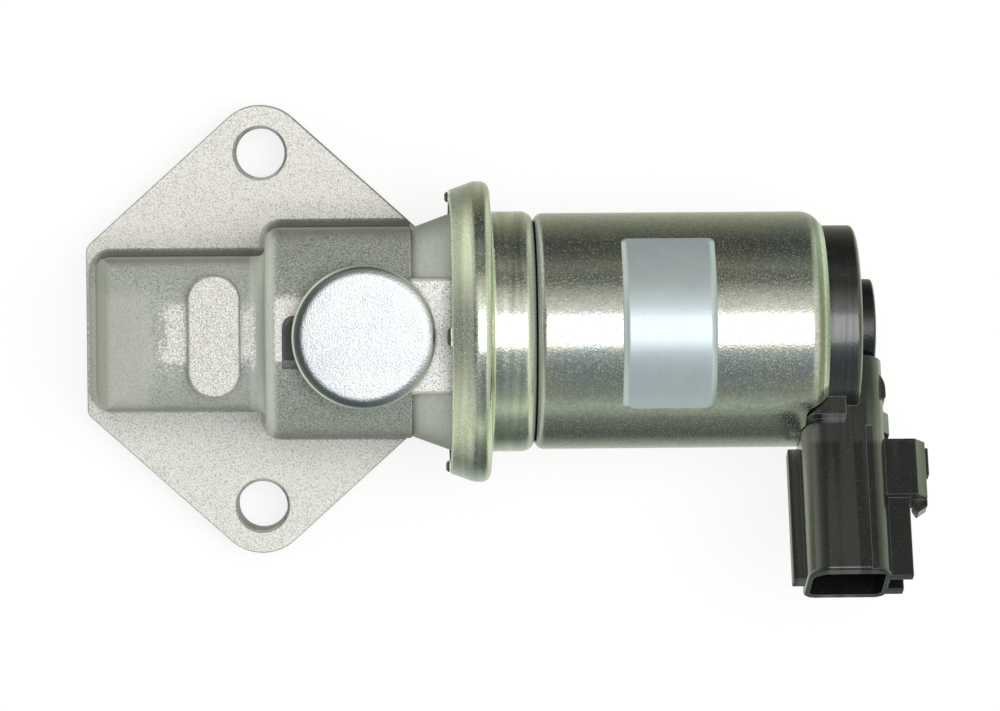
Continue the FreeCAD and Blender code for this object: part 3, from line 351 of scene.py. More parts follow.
# %% [markdown]
# A shiny can is a mirror, so its look is the studio around it. The studio could be built from
# walls and cards, but here it is painted on the world by direction alone, which is quicker to
# set. One soft box hangs overhead and gives the white streak along the can. The rest is the room:
# pale low down, where the table glows, dark at the height of the lens behind, with a dim strip in
# front. Around the valve the shade follows the angle about the solenoid axis, and towards the two
# ends of that axis it follows the angle from straight up.

# %% Shades of the room
AROUND = [                  # degrees about the X axis from straight up towards +Y, and shade
    (-180, (0.68, 0.70, 0.62)), (-158, (0.58, 0.62, 0.55)), (-138, (0.32, 0.37, 0.33)),
    (-124, (0.10, 0.11, 0.10)), (-112, (0.12, 0.13, 0.12)), (-93, (0.20, 0.22, 0.20)),
    (-77, (0.52, 0.60, 0.49)), (-63, (0.27, 0.30, 0.27)), (-43, (0.215, 0.245, 0.255)),
    (-31, (0.245, 0.285, 0.30)), (-22, (0.36, 0.42, 0.45)), (12, (0.45, 0.47, 0.46)),
    (24, (0.88, 0.88, 0.85)), (33, (0.66, 0.66, 0.58)), (41, (0.44, 0.44, 0.38)),
    (50, (0.17, 0.18, 0.155)), (55, (0.14, 0.15, 0.13)), (66, (0.22, 0.225, 0.19)),
    (81, (0.09, 0.095, 0.085)), (98, (0.07, 0.075, 0.07)), (118, (0.17, 0.18, 0.14)),
    (146, (0.40, 0.42, 0.33)), (180, (0.68, 0.70, 0.62)),
]
LEFT_END = [                # degrees from straight up, in the room past the flange
    (0, (0.12, 0.13, 0.14)), (30, (0.13, 0.14, 0.14)), (44, (0.34, 0.36, 0.33)),
    (64, (0.72, 0.76, 0.62)), (100, (0.85, 0.90, 0.72)), (180, (0.70, 0.74, 0.62)),
]
RIGHT_END = [               # degrees from straight up, in the room past the end cap
    (0, (1.00, 1.00, 0.95)), (45, (0.85, 0.87, 0.74)), (75, (0.50, 0.56, 0.40)),
    (115, (0.75, 0.85, 0.66)), (180, (0.70, 0.74, 0.62)),
]
LEFT_REACH = (0.2, 0.5)     # sideways part of a direction where an end's shade begins and is full
RIGHT_REACH = (0.32, 0.6)
BACKGROUND = (0.93, 0.93, 0.93)    # what the camera sees past the table
print("room has", len(AROUND), "shades around and", len(LEFT_END) + len(RIGHT_END), "at its ends")

# %% Studio room


def studio_room():
    """World painted by direction: a ramp over the angle about X, and one for each end of X."""
    world = bpy.data.worlds.new("studio_room")
    bpy.context.scene.world = world
    world.use_nodes = True
    net = Network(world.node_tree)
    way = net.node("TexCoord", {}, {}, "Generated")
    x, y, z = (net.node("SeparateXYZ", {}, {"Vector": way}, axis) for axis in "XYZ")
    round_x = net.maths("ARCTAN2", y, z) / (2 * np.pi) + 0.5
    from_top = net.maths("ARCCOSINE", z, 0.0) / np.pi

    def ramp(shades, start, whole, place):
        """Colours by place, where 0 is the angle start and 1 is a whole further on."""
        stops = [((angle - start) / whole, shade) for angle, shade in shades]
        return net.node("ValToRGB", {"stops": stops}, {"Fac": place})

    shade = ramp(AROUND, -180, 360, round_x)
    shade = net.mix((0 - x).rise(*LEFT_REACH), shade, ramp(LEFT_END, 0, 180, from_top))
    shade = net.mix(x.rise(*RIGHT_REACH), shade, ramp(RIGHT_END, 0, 180, from_top))
    camera_ray = net.node("LightPath", {}, {}, "Is Camera Ray")
    background = next(n for n in world.node_tree.nodes if n.type == "BACKGROUND")
    net.put(background.inputs["Color"], net.mix(camera_ray, shade, BACKGROUND))


studio_room()
bpy.context.scene.view_settings.view_transform = "Standard"
print("world is", bpy.context.scene.world.name)

# %% [markdown]
# The soft box could be a bright card, but an area light is less noisy, and the camera doesn't
# see it. Its power is worked out from the brightness wanted: a flat light gives its power divided
# by pi and by its area. A second light of the same size lifts only the matt surfaces, so the
# metal's mirror of the box isn't burnt out.

# %% Soft box
BOX_HEIGHT = 0.9
BOX_SIZE = (0.66, 0.50)     # along the solenoid and across it, in metres
BOX_SHIFT = (0.20, 0.04)    # it hangs more over the end cap and a little towards +Y
BOX_BRIGHTNESS = 2.1        # one is as bright as white paper in the picture
FILL_BRIGHTNESS = 3.0


def soft_box(name, place, brightness):
    """Rectangle of light that hangs at place and looks straight down, as bright as asked."""
    light = bpy.data.lights.new(name, "AREA")
    light.shape = "RECTANGLE"
    light.size, light.size_y = BOX_SIZE
    light.energy = brightness * np.pi * BOX_SIZE[0] * BOX_SIZE[1]
    made = bpy.data.objects.new(name, light)
    bpy.context.scene.collection.objects.link(made)
    made.location = place
    made.rotation_euler = Vector((0, 0, -1)).to_track_quat("-Z", "Y").to_euler()
    made.visible_camera = False
    return made


middle = (cad_box[0] + cad_box[1]) / 2
box_place = Vector((middle.x, 0, AXIS_Z)) + Vector((*BOX_SHIFT, BOX_HEIGHT))
soft_box("box_above", box_place, BOX_BRIGHTNESS)
fill = soft_box("fill_above", box_place, FILL_BRIGHTNESS)
fill.visible_glossy = False

# %% [markdown]
# The casting comes out of its die smooth, and then its flat faces are blasted, so they sparkle
# with fine grain, while walls and slopes keep the grey-green skin of the die. On top of that,
# walls, the foot of the chambers, the small pocket and the corners are painted darker as shade,
# and the step, the neck, the left end and the band are painted lighter as light. The mounting
# face is milled. Separate materials could be given face by face, but one finish does all of it:
# the surface's own normal says how far it faces up, and its coordinates say which face it is.

# %% Zones of the casting
from types import SimpleNamespace

# Limits in mm between which a mask rises or falls. Tops are measured up from the axis.
NARROW_TOP = (9.1, 10.2)                # the narrow chamber's flat top
WIDE_TOP = (12.5, 14.2)                 # the wide chamber's top, with its small pocket
POCKET_FLOOR = (12.5, 12.9)
BAND_TOP = (15.3, 15.8)                 # the band between cap and collar, painted lighter as light
RAGGED = 4.0                            # how far a ragged border strays
PATCH_X, PATCH_Y = (-13.6, -12.2), (-4.6, -3.2, 3.2, 5.4)    # bright patch on the narrow top
POCKET_Y = (-3.5, -3.2, 1.2, 4.5)
WIDE_FLAT_Y = (-3.4, -3.2)              # the wide top is blasted from here towards +Y
WIDE_X = (1.9, 3.1, 20.7, 21.3)         # the wide chamber's darker skin
STEP_X = (-1.2, 1.9)                    # the step between the chambers
SMOOTH_X, NECK_X = (-1.4, -0.7), (20.0, 22.0)   # skin of the step and of the neck, painted paler as light
LEFT_X, LEFT_Y = (-15.5, -14.0), (4.5, 7.5)     # smooth left end of the narrow chamber, painted paler as light except towards +Y
FOOT_Z = (7.95, 8.05, 9.2, 11.5)        # the fillet at the foot of the chambers, painted darker as shade
FOOT_LEAN = (0.05, 0.6)                 # part of its normal towards +Y, where that shade is painted
MILLED_Z = (0.02, 0.10)
FLANGE_Z = (8.4, 8.8)                   # the flange ends below this
HIGH_Z = (20, 26)                       # painted shade in corners is lighter from here up
RIM_RADIUS = 0.42                       # the flange's sharp rims are painted darker this far
FLAT_UP = (0.985, 1.035)                # square of the normal's upward part, from which it is flat
WALL_UP = (0.10, 0.62)                  # upward part of the normal, up to which it is a wall, painted darker as shade


def casting_zones(finish):
    """Masks from 0 to 1: where each skin of the casting lies, and where light and shade are
    painted.
    """
    x, y, z = (finish.along(axis) for axis in "XYZ")
    height, up = z - AXIS_Z / MM, finish.facing("Z")
    coarse = finish.noise(0.32, 3.0)
    ragged = (coarse + finish.noise(1.6, 2.0) - 1.0) * RAGGED
    patch = (x + ragged).rise(*PATCH_X) * (y + ragged).window(*PATCH_Y)
    flat = (up * up + 0.09 * coarse).rise(*FLAT_UP)
    flat = flat * (1 - height.between(*NARROW_TOP) * (1 - patch))
    flat = flat * (1 - height.between(*WIDE_TOP) * y.fall(*WIDE_FLAT_Y))
    wide = x.window(*WIDE_X)
    pocket = y.rise(*POCKET_Y[:2]) * (y + 0.5 * ragged).fall(*POCKET_Y[2:])
    return SimpleNamespace(
        coarse=coarse, flat=flat, wide=wide,
        smooth=x.rise(*SMOOTH_X) * (1 - wide) * (0.65 - 0.15 * x.rise(*NECK_X)),
        left=(x + 0.6 * ragged).fall(*LEFT_X) * y.fall(*LEFT_Y),
        wall=up.fall(*WALL_UP) * (1 - 0.6 * x.between(*STEP_X)),
        bare=1 - height.between(NARROW_TOP[0], POCKET_FLOOR[1]),
        band=height.between(*BAND_TOP),
        # the pocket's floor, where a shadow is painted
        pocket=flat * height.between(*POCKET_FLOOR) * pocket,
        foot=z.window(*FOOT_Z) * finish.facing("Y").rise(*FOOT_LEAN),
        milled=z.fall(*MILLED_Z),
        rim=finish.edges(RIM_RADIUS) * z.fall(*FLANGE_Z),
        high=z.rise(*HIGH_Z))


print("zones measured from the axis", round(AXIS_Z / MM, 2), "mm up")

# %% [markdown]
# The colours could be mixed all at once, but they are laid on in the order of the work: first the
# skin of the die with its pits and its painted light and shade, then the blasted grain on the
# flats with painted shadow in the pocket and painted shade at the foot, then the milled arcs, and
# last the darker rims and painted shade in corners. The arcs are noise over the distance from the
# middle of a wide cutter that swept across the face.

# %% Cast aluminium
MILL_CENTRE = (70 * MM, -12 * MM, 0.0)
MILL_PITCH = 0.4            # mm from one cut to the next
CORNER_REACH = 1.2          # mm within which a corner is painted darker as shade


def cast_aluminium():
    finish = Finish("cast_aluminium", {})
    zone = casting_zones(finish)
    grain = finish.noise(0.17, 3.0)
    speck = grain.rise(0.30, 0.62)
    pits = finish.noise(0.22, 2.0).fall(0.34, 0.50)
    sparkle = 0.8 * grain.rise(0.36, 0.56) + 0.2 * zone.coarse.rise(0.40, 0.60)
    blasted = finish.mix(zone.bare, (0.45, 0.425, 0.40), (0.70, 0.665, 0.63))
    blasted = finish.mix(sparkle, blasted, (1.0, 0.97, 0.94))
    # painted light on the band between cap and collar
    blasted = finish.mix(0.6 * zone.band, blasted, (1.0, 0.98, 0.96))
    blasted = finish.mix((0.5 + 0.35 * zone.band) * pits, blasted, (0.30, 0.275, 0.25))
    sweep = {"W": finish.distance(MILL_CENTRE) / MILL_PITCH, "Scale": 1.0}
    arcs = finish.node("TexNoise", {"noise_dimensions": "1D"}, sweep)
    cut = finish.mix(arcs.rise(0.3, 0.7), (0.50, 0.50, 0.49), (0.84, 0.84, 0.82))
    # colour of the painted shade in corners, darker low down
    corner = finish.mix(zone.high, (0.08, 0.08, 0.075), (0.27, 0.275, 0.26))
    finish.ground(finish.noise(9, 2.0), (0.41, 0.425, 0.40), (0.50, 0.51, 0.48))
    for mask, colour in [       # how strongly and where, and then what colour
            (0.6 * speck * zone.coarse.rise(0.4, 0.7), (0.72, 0.73, 0.69)),
            (0.7 * pits, (0.16, 0.17, 0.15)),
            # painted light: the step, the neck and the left end are paler, as if lit from -X
            (zone.smooth, (0.66, 0.68, 0.635)),
            (0.45 * zone.left, (0.64, 0.62, 0.60)),
            (zone.wide * (0.84 - 0.72 * speck), (0.11, 0.12, 0.11)),
            # painted shade: walls are darker than the flats
            (0.55 * zone.wall, (0.11, 0.115, 0.105)),
            (zone.flat, blasted),
            # painted shadow on the pocket floor beside the cap
            (0.92 * zone.pocket, (0.06, 0.06, 0.055)),
            # painted shade on the +Y side of the fillet at the foot
            (0.75 * zone.foot, (0.10, 0.105, 0.095)),
            (zone.milled, cut),
            (0.85 * zone.rim, (0.13, 0.12, 0.10)),
            # painted shade in corners and creases
            (finish.openness(CORNER_REACH).fall(0.20, 0.80), corner)]:
        finish.paint(mask, colour)
    cast = (0.20 + 0.36 * zone.flat) * (1 - zone.milled)
    finish.feed("Metallic", cast + 0.45 * zone.wall + 0.5 * zone.milled)
    finish.feed("Roughness", 0.50 + 0.1 * speck - 0.15 * zone.wall - 0.14 * zone.flat)
    rough = grain * (0.8 + 0.2 * zone.flat)
    finish.bump(rough + zone.milled * (0.3 * arcs - rough), 0.07)
    return finish.done()


dress(cast_aluminium(), "valve_body")

# %% [markdown]
# Can and collar are deep-drawn steel with zinc plating, passivated to a pale yellow-green. The
# zinc has fine crystals and faint lines from drawing, and the yellow gathers in soft patches. On
# the collar the lines carry painted light and dark streaks as reflections, and the cup is painted
# paler towards -Y as light. The dark line where cup and can meet, the grey painted shade beside it,
# the stakes, the flank of the collar and the rolled lip, with its painted shadow and pale painted
# reflection, are painted by their place along the axis, because they are the same all the way
# round. A picture of zinc could be wrapped round it all, but cells and noise give the crystals
# their true size.

# %% Plated steel
# Places in mm along X, unless a name says Y.
JOINT = float(can_low[0]) / MM                                   # where cup and can meet
JOINT_LINE, JOINT_HALO = (0.08, 0.18), (0.3, 1.1)                # to either side of the joint: its dark line, and grey painted shade
PRESSED_END = 1.2                                                # the collar's painted streaks and paler tone fade before it
STAKE_END = float(span("crimp_collar")[0][0]) / MM + 0.6         # stakes stand out before this
FLANK_END = STAKE_END + 1.9
CUP_START = 30.5                                                 # the collar's wide part ends here
CUP_SIDE_Y = (5, 9)                                              # towards -Y the cup is painted paler as light
ROLL_START = float(can_high[0]) / MM - 1.7                       # the can's end rolls in from here
LIP_START = ROLL_START + 1.0
CRYSTAL = 0.40                                                   # size of a zinc crystal


def plated_steel():
    finish = Finish("plated_steel", {})
    x, y = (finish.along(axis) for axis in "XY")
    cells = {"Vector": finish.place(), "Scale": 1 / (CRYSTAL * MM)}
    crystal = finish.node("TexVoronoi", {}, cells, "Color")
    crystal = finish.node("SeparateColor", {}, {"Color": crystal}, "Red")
    sparkle = finish.noise(0.20, 2.0).rise(0.54, 0.68)
    cloud, grain = finish.noise(7, 3.0), finish.noise(0.28, 2.0)
    draw_lines_and_sheen = finish.drawn_noise(0.9, 1.0, 0.05)
    pressed = x.fall(JOINT - PRESSED_END, JOINT)
    cup_side_painted_light = x.rise(CUP_START, CUP_START + 1.0) * pressed * (0 - y).rise(*CUP_SIDE_Y)
    stake = x.fall(STAKE_END - 0.15, STAKE_END)
    flank = x.fall(FLANK_END - 0.6, FLANK_END)
    from_joint = (x - JOINT).size()
    groove = from_joint.fall(*JOINT_HALO)
    finish.ground(cloud.rise(0.40, 0.66), (0.65, 0.68, 0.64), (0.70, 0.70, 0.60))
    for mask, colour in [
            (0.45 * crystal * (1 - sparkle), (0.36, 0.36, 0.32)),
            # drawing lines on the collar, painted light and dark as streaky reflections
            (0.8 * pressed * draw_lines_and_sheen.rise(0.42, 0.66), (0.94, 0.95, 0.80)),
            (0.4 * pressed * draw_lines_and_sheen.fall(0.30, 0.46), (0.32, 0.33, 0.27)),
            # the collar a little paler all over, and its cup painted paler towards -Y as light
            (0.18 * pressed + 0.35 * cup_side_painted_light, (0.92, 1.0, 0.84)),
            (0.85 * stake, (0.05, 0.05, 0.045)),
            # grey painted shade to either side of the joint, where the metal is also less shiny
            (0.8 * groove, (0.38, 0.41, 0.38)),
            (from_joint.fall(*JOINT_LINE), (0.03, 0.03, 0.03)),
            (0.45 * flank * (1 - stake), (0.56, 0.58, 0.49)),
            # painted shadow where the can's end starts to roll in, and a painted pale reflection on
            # the lip
            (0.6 * x.window(ROLL_START, ROLL_START + 0.3, LIP_START - 0.2, LIP_START),
             (0.22, 0.25, 0.19)),
            (0.6 * x.rise(LIP_START - 0.1, LIP_START + 0.1), (0.86, 0.93, 0.78))]:
        finish.paint(mask, colour)
    finish.feed("Metallic", 1 - 0.55 * groove)
    finish.feed("Roughness", 0.10 + 0.05 * crystal + 0.05 * cloud + 0.36 * sparkle
                + 0.06 * flank - 0.06 * pressed * draw_lines_and_sheen)
    finish.bump(grain + 0.6 * crystal, 0.013)
    return finish.done()


dress(plated_steel(), "solenoid_can", "crimp_collar")

# %% [markdown]
# The cap over the machined boss is bright steel without the yellow, satin from the press. Its
# gentle bend is painted darker as shade, and the tight shoulder beyond it is painted with a pale
# green reflection of the room. It could share the can's plating, but its colour is colder and its
# grain more even.

# %% Bright steel cap
BEND_UP, BEND_X = (0.74, 0.88, 0.975, 0.998), (-0.05, 0.22)    # parts of the normal on the bend, which is painted darker as shade except towards +X
SHOULDER_UP = (0.02, 0.10, 0.62, 0.84)                         # and on the shoulder, which is painted with a pale reflection


def bright_steel():
    finish = Finish("bright_steel", {"Metallic": 1.0})
    cloud, grain, fine = finish.noise(5, 3.0), finish.noise(0.24, 2.0), finish.noise(0.14, 2.0)
    up = finish.facing("Z")
    bend = up.window(*BEND_UP) * finish.facing("X").fall(*BEND_X)
    shoulder = up.window(*SHOULDER_UP)
    finish.ground((0.35 * cloud + 0.65 * fine).rise(0.34, 0.62),
                  (0.40, 0.42, 0.435), (0.54, 0.54, 0.54))
    # painted shade on the bend
    finish.paint(0.6 * bend, (0.10, 0.12, 0.13))
    # painted pale green reflection on the shoulder
    finish.paint(0.8 * shoulder, (0.86, 0.98, 0.92))
    finish.feed("Roughness", 0.17 + 0.08 * cloud + 0.3 * shoulder)
    finish.bump(grain + 0.6 * fine, 0.028)
    return finish.done()


bright = bright_steel()
dress(bright, "valve_rod", "boss_cap")

# %% [markdown]
# New pieces are surfaces worked out as whole arrays: a grid of points becomes a grid of quads.
# They could be modelled by hand, but a grid follows its formula exactly and has even faces. A row
# or column that shrinks to one point is merged there, so every pole is closed, and normals are
# turned outwards on the finished shell.

# %% Surfaces from grids
import bmesh

MERGE = 0.0001 * MM
SHARP = np.radians(40)


def surface(name, points, material, wrap=(False, False)):
    """Piece from a grid of points, one quad a cell.

    Where wrap says so, the last row or column is joined to the first."""
    rows, columns = points.shape[:2]
    index = np.arange(rows * columns).reshape(rows, columns)
    if wrap[0]:
        index = np.vstack([index, index[:1]])
    if wrap[1]:
        index = np.hstack([index, index[:, :1]])
    quads = np.stack([index[:-1, :-1], index[:-1, 1:], index[1:, 1:], index[1:, :-1]], axis=-1)
    mesh = bpy.data.meshes.new(name)
    mesh.from_pydata(points.reshape(-1, 3).tolist(), [], quads.reshape(-1, 4).tolist())
    work = bmesh.new()
    work.from_mesh(mesh)
    bmesh.ops.remove_doubles(work, verts=work.verts, dist=MERGE)
    bmesh.ops.recalc_face_normals(work, faces=work.faces)
    work.to_mesh(mesh)
    work.free()
    mesh.shade_smooth()
    mesh.set_sharp_from_angle(angle=SHARP)
    mesh.materials.append(material)
    piece = bpy.data.objects.new(name, mesh)
    bpy.context.scene.collection.objects.link(piece)
    return piece


def stand_in(piece, slot, *nodes):
    """Piece moves with the valve's body and is shown in place of the nodes."""
    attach(piece, "valve")
    if nodes:
        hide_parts(*nodes)
    print(piece.name, "has", len(piece.data.polygons), "faces")


print("doubles closer than", MERGE / MM, "mm are merged")

# %% [markdown]
# The cap over the boss is pressed from sheet. Its flat middle first bends down gently, which makes
# the soft dark ring inside its edge, and then turns over a tight shoulder into a short skirt. A
# bevel on the solid would give one even arc, so the profile is worked out from two arcs instead.

# %% Pressed cap
CAP_SHOULDER = 0.7 * MM
CAP_DOME = 3.4 * MM         # radius of the gentle bend
CAP_DOME_TURN = 22          # degrees that it bends
CAP_WALL = 1.0 * MM
CAP_SIDES = 160
BEND_STEPS, SHOULDER_STEPS = 9, 13


def pressed_cap():
    """Profile carried round an upright line: flat, an arc of the dome's radius from 0 to its turn,
    an arc of the shoulder's radius from there to 90 degrees, the skirt, and the inside of it."""
    low, high = span("boss_cap")
    middle, outer = (low + high) / 2, (high[0] - low[0]) / 2
    turn = np.radians(CAP_DOME_TURN)
    bend = np.linspace(0, turn, BEND_STEPS)
    roll = np.linspace(turn, np.pi / 2, SHOULDER_STEPS)
    flat = outer - CAP_SHOULDER * (1 - np.sin(turn)) - CAP_DOME * np.sin(turn)
    drop = CAP_DOME * (1 - np.cos(turn))
    dome = np.stack([flat + CAP_DOME * np.sin(bend),
                     high[2] - CAP_DOME * (1 - np.cos(bend))], axis=1)
    shoulder = np.stack([outer - CAP_SHOULDER * (1 - np.sin(roll)),
                         high[2] - drop - CAP_SHOULDER * (np.cos(turn) - np.cos(roll))], axis=1)
    inner, ceiling = outer - CAP_WALL, high[2] - CAP_WALL
    profile = np.concatenate([[(0, high[2]), (flat / 2, high[2])], dome, shoulder[1:],
                              [(outer, low[2]), (inner, low[2]), (inner, ceiling), (0, ceiling)]])
    angle = np.linspace(0, 2 * np.pi, CAP_SIDES, endpoint=False)
    radius, height = profile[:, :1], profile[:, 1:]
    grid = np.stack([middle[0] + radius * np.cos(angle), middle[1] + radius * np.sin(angle),
                     height + 0 * angle], axis=-1)
    return surface("pressed_cap", grid, bright, (False, True))


stand_in(pressed_cap(), "bright_steel", "boss_cap")

# %% [markdown]
# A die leaves a thin line of flash where its two halves meet, half way up the edge of the flange.
# It could be a scratch in the bump alone, but then it would be missing in the mesh. It is a fine
# bead carried round the flange's own outline, which is read from the frame.

# %% Parting line
FLASH_RADIUS = 0.13 * MM
FLASH_HEIGHT = 4.2 * MM
FLASH_SIDES = 8
FACE_DEPTH = 0.01 * MM      # corners nearer than this to the table lie on the mounting face


def parting_line():
    """Circle carried round a closed path: path + radius * (cos * outward + sin * up)."""
    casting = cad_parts["valve_body"].data
    corners = np.empty(3 * len(casting.vertices))
    casting.vertices.foreach_get("co", corners)
    corners = corners.reshape(-1, 3)
    face = corners[np.abs(corners[:, 2]) < FACE_DEPTH, :2]
    path = face[convex_hull_2d(face.tolist())]
    along = np.roll(path, -1, axis=0) - np.roll(path, 1, axis=0)
    along /= np.linalg.norm(along, axis=1, keepdims=True)
    outward = np.stack([along[:, 1], -along[:, 0]], axis=1)
    outward *= np.sign((outward * path).sum(axis=1, keepdims=True))
    turn = np.linspace(0, 2 * np.pi, FLASH_SIDES, endpoint=False)
    ring = path[:, None, :] + FLASH_RADIUS * np.cos(turn)[None, :, None] * outward[:, None, :]
    height = FLASH_HEIGHT + FLASH_RADIUS * np.sin(turn)[None, :] + 0 * ring[:, :, 0]
    grid = np.concatenate([ring, height[:, :, None]], axis=2)
    return surface("parting_line", grid, casting.materials[0], (True, True))


stand_in(parting_line(), "casting")

# %% [markdown]
# The end cap and the socket are one black moulding with a fine spark-eroded skin. A dark colour
# alone would look flat, so a clear coat carries the gloss: full on the round corners, ringed on
# the end cap's top and in streaks on the socket, where the moulding slid out of its tool.

# %% Black moulding
END_CAP_Y, END_CAP_Z = (-15.5, -14.5), (30, 33)    # the end cap's top begins over these
ROUND_SIDE = (0.10, 0.40, 0.75, 0.95)              # square of the normal's part along X on a bend
PAINTED_EDGE_HIGHLIGHT, SOFT_EDGE = 0.13, 0.15                  # mm to which sharp edges get painted highlights, and are rounded


def black_moulding():
    finish = Finish("black_moulding", {"Metallic": 0.0, "Specular IOR Level": 0.7, "IOR": 1.5,
                                       "Coat IOR": 1.8, "Coat Roughness": 0.16})
    end_cap = finish.along("Y").rise(*END_CAP_Y) * finish.along("Z").rise(*END_CAP_Z)
    sideways = finish.facing("X")
    round_corner = (sideways * sideways).window(*ROUND_SIDE)
    cloud, grain = finish.noise(6, 3.0), finish.noise(0.25, 2.0)
    rings, draw = finish.drawn_noise(0.45, 2.0, 0.02), finish.drawn_noise(3.4, 1.0, 0.06)
    streaks = finish.drawn_noise(1.9, 1.0, 0.04).rise(0.46, 0.66)
    finish.ground(cloud, (0.003, 0.0035, 0.004), (0.009, 0.010, 0.0105))
    finish.paint(grain.rise(0.60, 0.78), (0.05, 0.055, 0.05))
    # painted highlights along sharp edges
    finish.paint(0.5 * finish.edges(PAINTED_EDGE_HIGHLIGHT), (0.30, 0.34, 0.30))
    finish.feed("Roughness", 0.16 + 0.10 * cloud + 0.04 * rings)
    finish.feed("Coat Weight", end_cap * (0.5 + 0.5 * rings.rise(0.3, 0.6)) + round_corner
                + 0.8 * streaks * (1 - end_cap))
    finish.bump(0.10 * grain + draw, 0.30, SOFT_EDGE)
    return finish.done()


moulding = black_moulding()
dress(moulding, "connector_housing")

# %% [markdown]
# Inner pieces show only through the ports and the socket, but each has its own finish. They could
# share one grey, but the pieces are looked at one by one too. Turned and drawn metal has rings
# from its tool, tin plate and enamelled wire differ from it in colour, and rubber and nylon are
# dull.

# %% Inner finishes


def turned_metal(name, dark, light, pitch):
    """Metal with rings along the solenoid axis, one tool mark every pitch millimetres."""
    finish = Finish(name, {"Metallic": 1.0})
    rings = finish.drawn_noise(pitch, 1.0, 0.02)
    finish.ground(rings, dark, light)
    finish.feed("Roughness", 0.22 + 0.14 * finish.noise(4))
    finish.bump(rings, 0.01)
    return finish.done()


def dull_plastic(name, dark, light, rough):
    """Rubber or plastic with a cloudy colour and a fine grain, rough all over."""
    finish = Finish(name, {"Metallic": 0.0})
    cloud = finish.noise(3, 3.0)
    finish.ground(cloud, dark, light)
    finish.feed("Roughness", rough + 0.1 * cloud)
    finish.bump(finish.noise(0.25), 0.01)
    return finish.done()


brass = turned_metal("turned_brass", (0.55, 0.38, 0.14), (0.80, 0.61, 0.30), 0.12)
core = turned_metal("turned_steel", (0.32, 0.32, 0.33), (0.58, 0.58, 0.58), 0.15)
wire = turned_metal("drawn_wire", (0.30, 0.30, 0.31), (0.48, 0.48, 0.49), 0.4)
tin = turned_metal("tinned_brass", (0.66, 0.65, 0.60), (0.82, 0.81, 0.78), 0.3)
copper = turned_metal("enamelled_copper", (0.42, 0.14, 0.05), (0.70, 0.32, 0.16), 0.2)
rubber = dull_plastic("rubber", (0.012, 0.012, 0.012), (0.03, 0.03, 0.03), 0.6)
nylon = dull_plastic("bobbin_nylon", (0.10, 0.10, 0.09), (0.16, 0.15, 0.13), 0.45)
print("inner finishes:", [m.name for m in (brass, core, wire, tin, copper, rubber, nylon)])

# %% [markdown]
# The label is satin film, half mirror and half matt, with a faint grain like cloth. It could be a
# flat plate, but it is a thin film wrapped on the can: a grid laid round the can, whose width
# shrinks along the corner's arc near its two ends. Solidify gives it the thickness of the film.

# %% Silver film


def silver_film():
    finish = Finish("label_film", {"Metallic": 0.55})
    cloud, threads = finish.noise(3), finish.drawn_noise(0.2, 1.0, 0.05)
    finish.ground(0.5 * cloud + 0.5 * threads, (0.50, 0.58, 0.63), (0.64, 0.70, 0.74))
    finish.feed("Roughness", 0.24 + 0.10 * cloud)
    finish.bump(threads, 0.006)
    return finish.done()


film = silver_film()
print("film is", film.name)

# %% Wrapped label
LABEL_WIDTH, LABEL_LENGTH = 12.75 * MM, 25.7 * MM
LABEL_CORNER = 0.9 * MM
LABEL_TURN = 6.85           # degrees from straight up towards +Y to the label's middle
LABEL_GAP = 0.01 * MM       # glue between can and film
LABEL_STEPS = 161, 13       # points along its length and across it
FILM = 0.09 * MM


def wrapped_label():
    """Point (u, v): X is the middle plus u times the half width at v, and v is an arc length round
    the can. The half width is full, less the corner's arc where v comes near either end."""
    low, high = span("rating_label")
    s = np.sin(np.linspace(-np.pi / 2, np.pi / 2, LABEL_STEPS[0]))[:, None]
    v = s * LABEL_LENGTH / 2
    u = np.linspace(-1, 1, LABEL_STEPS[1])[None, :]
    into = np.clip(np.abs(v) - (LABEL_LENGTH / 2 - LABEL_CORNER), 0, LABEL_CORNER)
    half = LABEL_WIDTH / 2 - LABEL_CORNER + np.sqrt(LABEL_CORNER ** 2 - into ** 2)
    angle = np.radians(LABEL_TURN) + v / CAN_RADIUS
    radius = CAN_RADIUS + LABEL_GAP
    grid = np.stack([(low[0] + high[0]) / 2 + u * half, radius * np.sin(angle) + 0 * u,
                     AXIS_Z + radius * np.cos(angle) + 0 * u], axis=-1)
    piece = surface("label_film", grid, film)
    skin = piece.modifiers.new("film", "SOLIDIFY")
    skin.thickness = FILM
    skin.offset = 1.0
    return piece


stand_in(wrapped_label(), "label_film", "rating_label")

# %% [markdown]
# The winding is one layer over another of enamelled wire. Real turns could be carried along a
# helix, but only the outermost layer could ever be seen. So its outside is a spiral of round
# turns: the height over a turn follows a half circle, and the turn's place moves on with the angle.

# %% Wound coil
WIRE = 0.46 * MM
COIL_DEPTH = 4 * MM                  # from the outside of the winding to its inside
COIL_STEPS, COIL_SIDES = 8, 72       # steps across one turn of wire, and sides round the coil


def wound_coil():
    """Radius at (x, angle) is the outside less half a wire, plus half a wire times the half circle
    over the turn, whose place is the fraction of x / pitch - angle / 360 degrees."""
    low, high = span("coil_winding")
    outer = (high[2] - low[2]) / 2
    inner = outer - COIL_DEPTH
    turns = int((high[0] - low[0]) / WIRE)
    x = np.linspace(low[0], high[0], turns * COIL_STEPS + 1)[:, None]
    angle = np.linspace(0, 2 * np.pi, COIL_SIDES, endpoint=False)[None, :]
    place = ((x - low[0]) / WIRE - angle / (2 * np.pi)) % 1.0
    radius = outer - WIRE / 2 * (1 - np.sqrt(1 - (2 * place - 1) ** 2))
    x = np.vstack([x, x[-1:], x[:1]])
    radius = np.vstack([radius, np.full((2, COIL_SIDES), inner)])
    grid = np.stack([x + 0 * angle, radius * np.sin(angle), AXIS_Z + radius * np.cos(angle)],
                    axis=-1)
    return surface("wound_coil", grid, copper, (True, True))


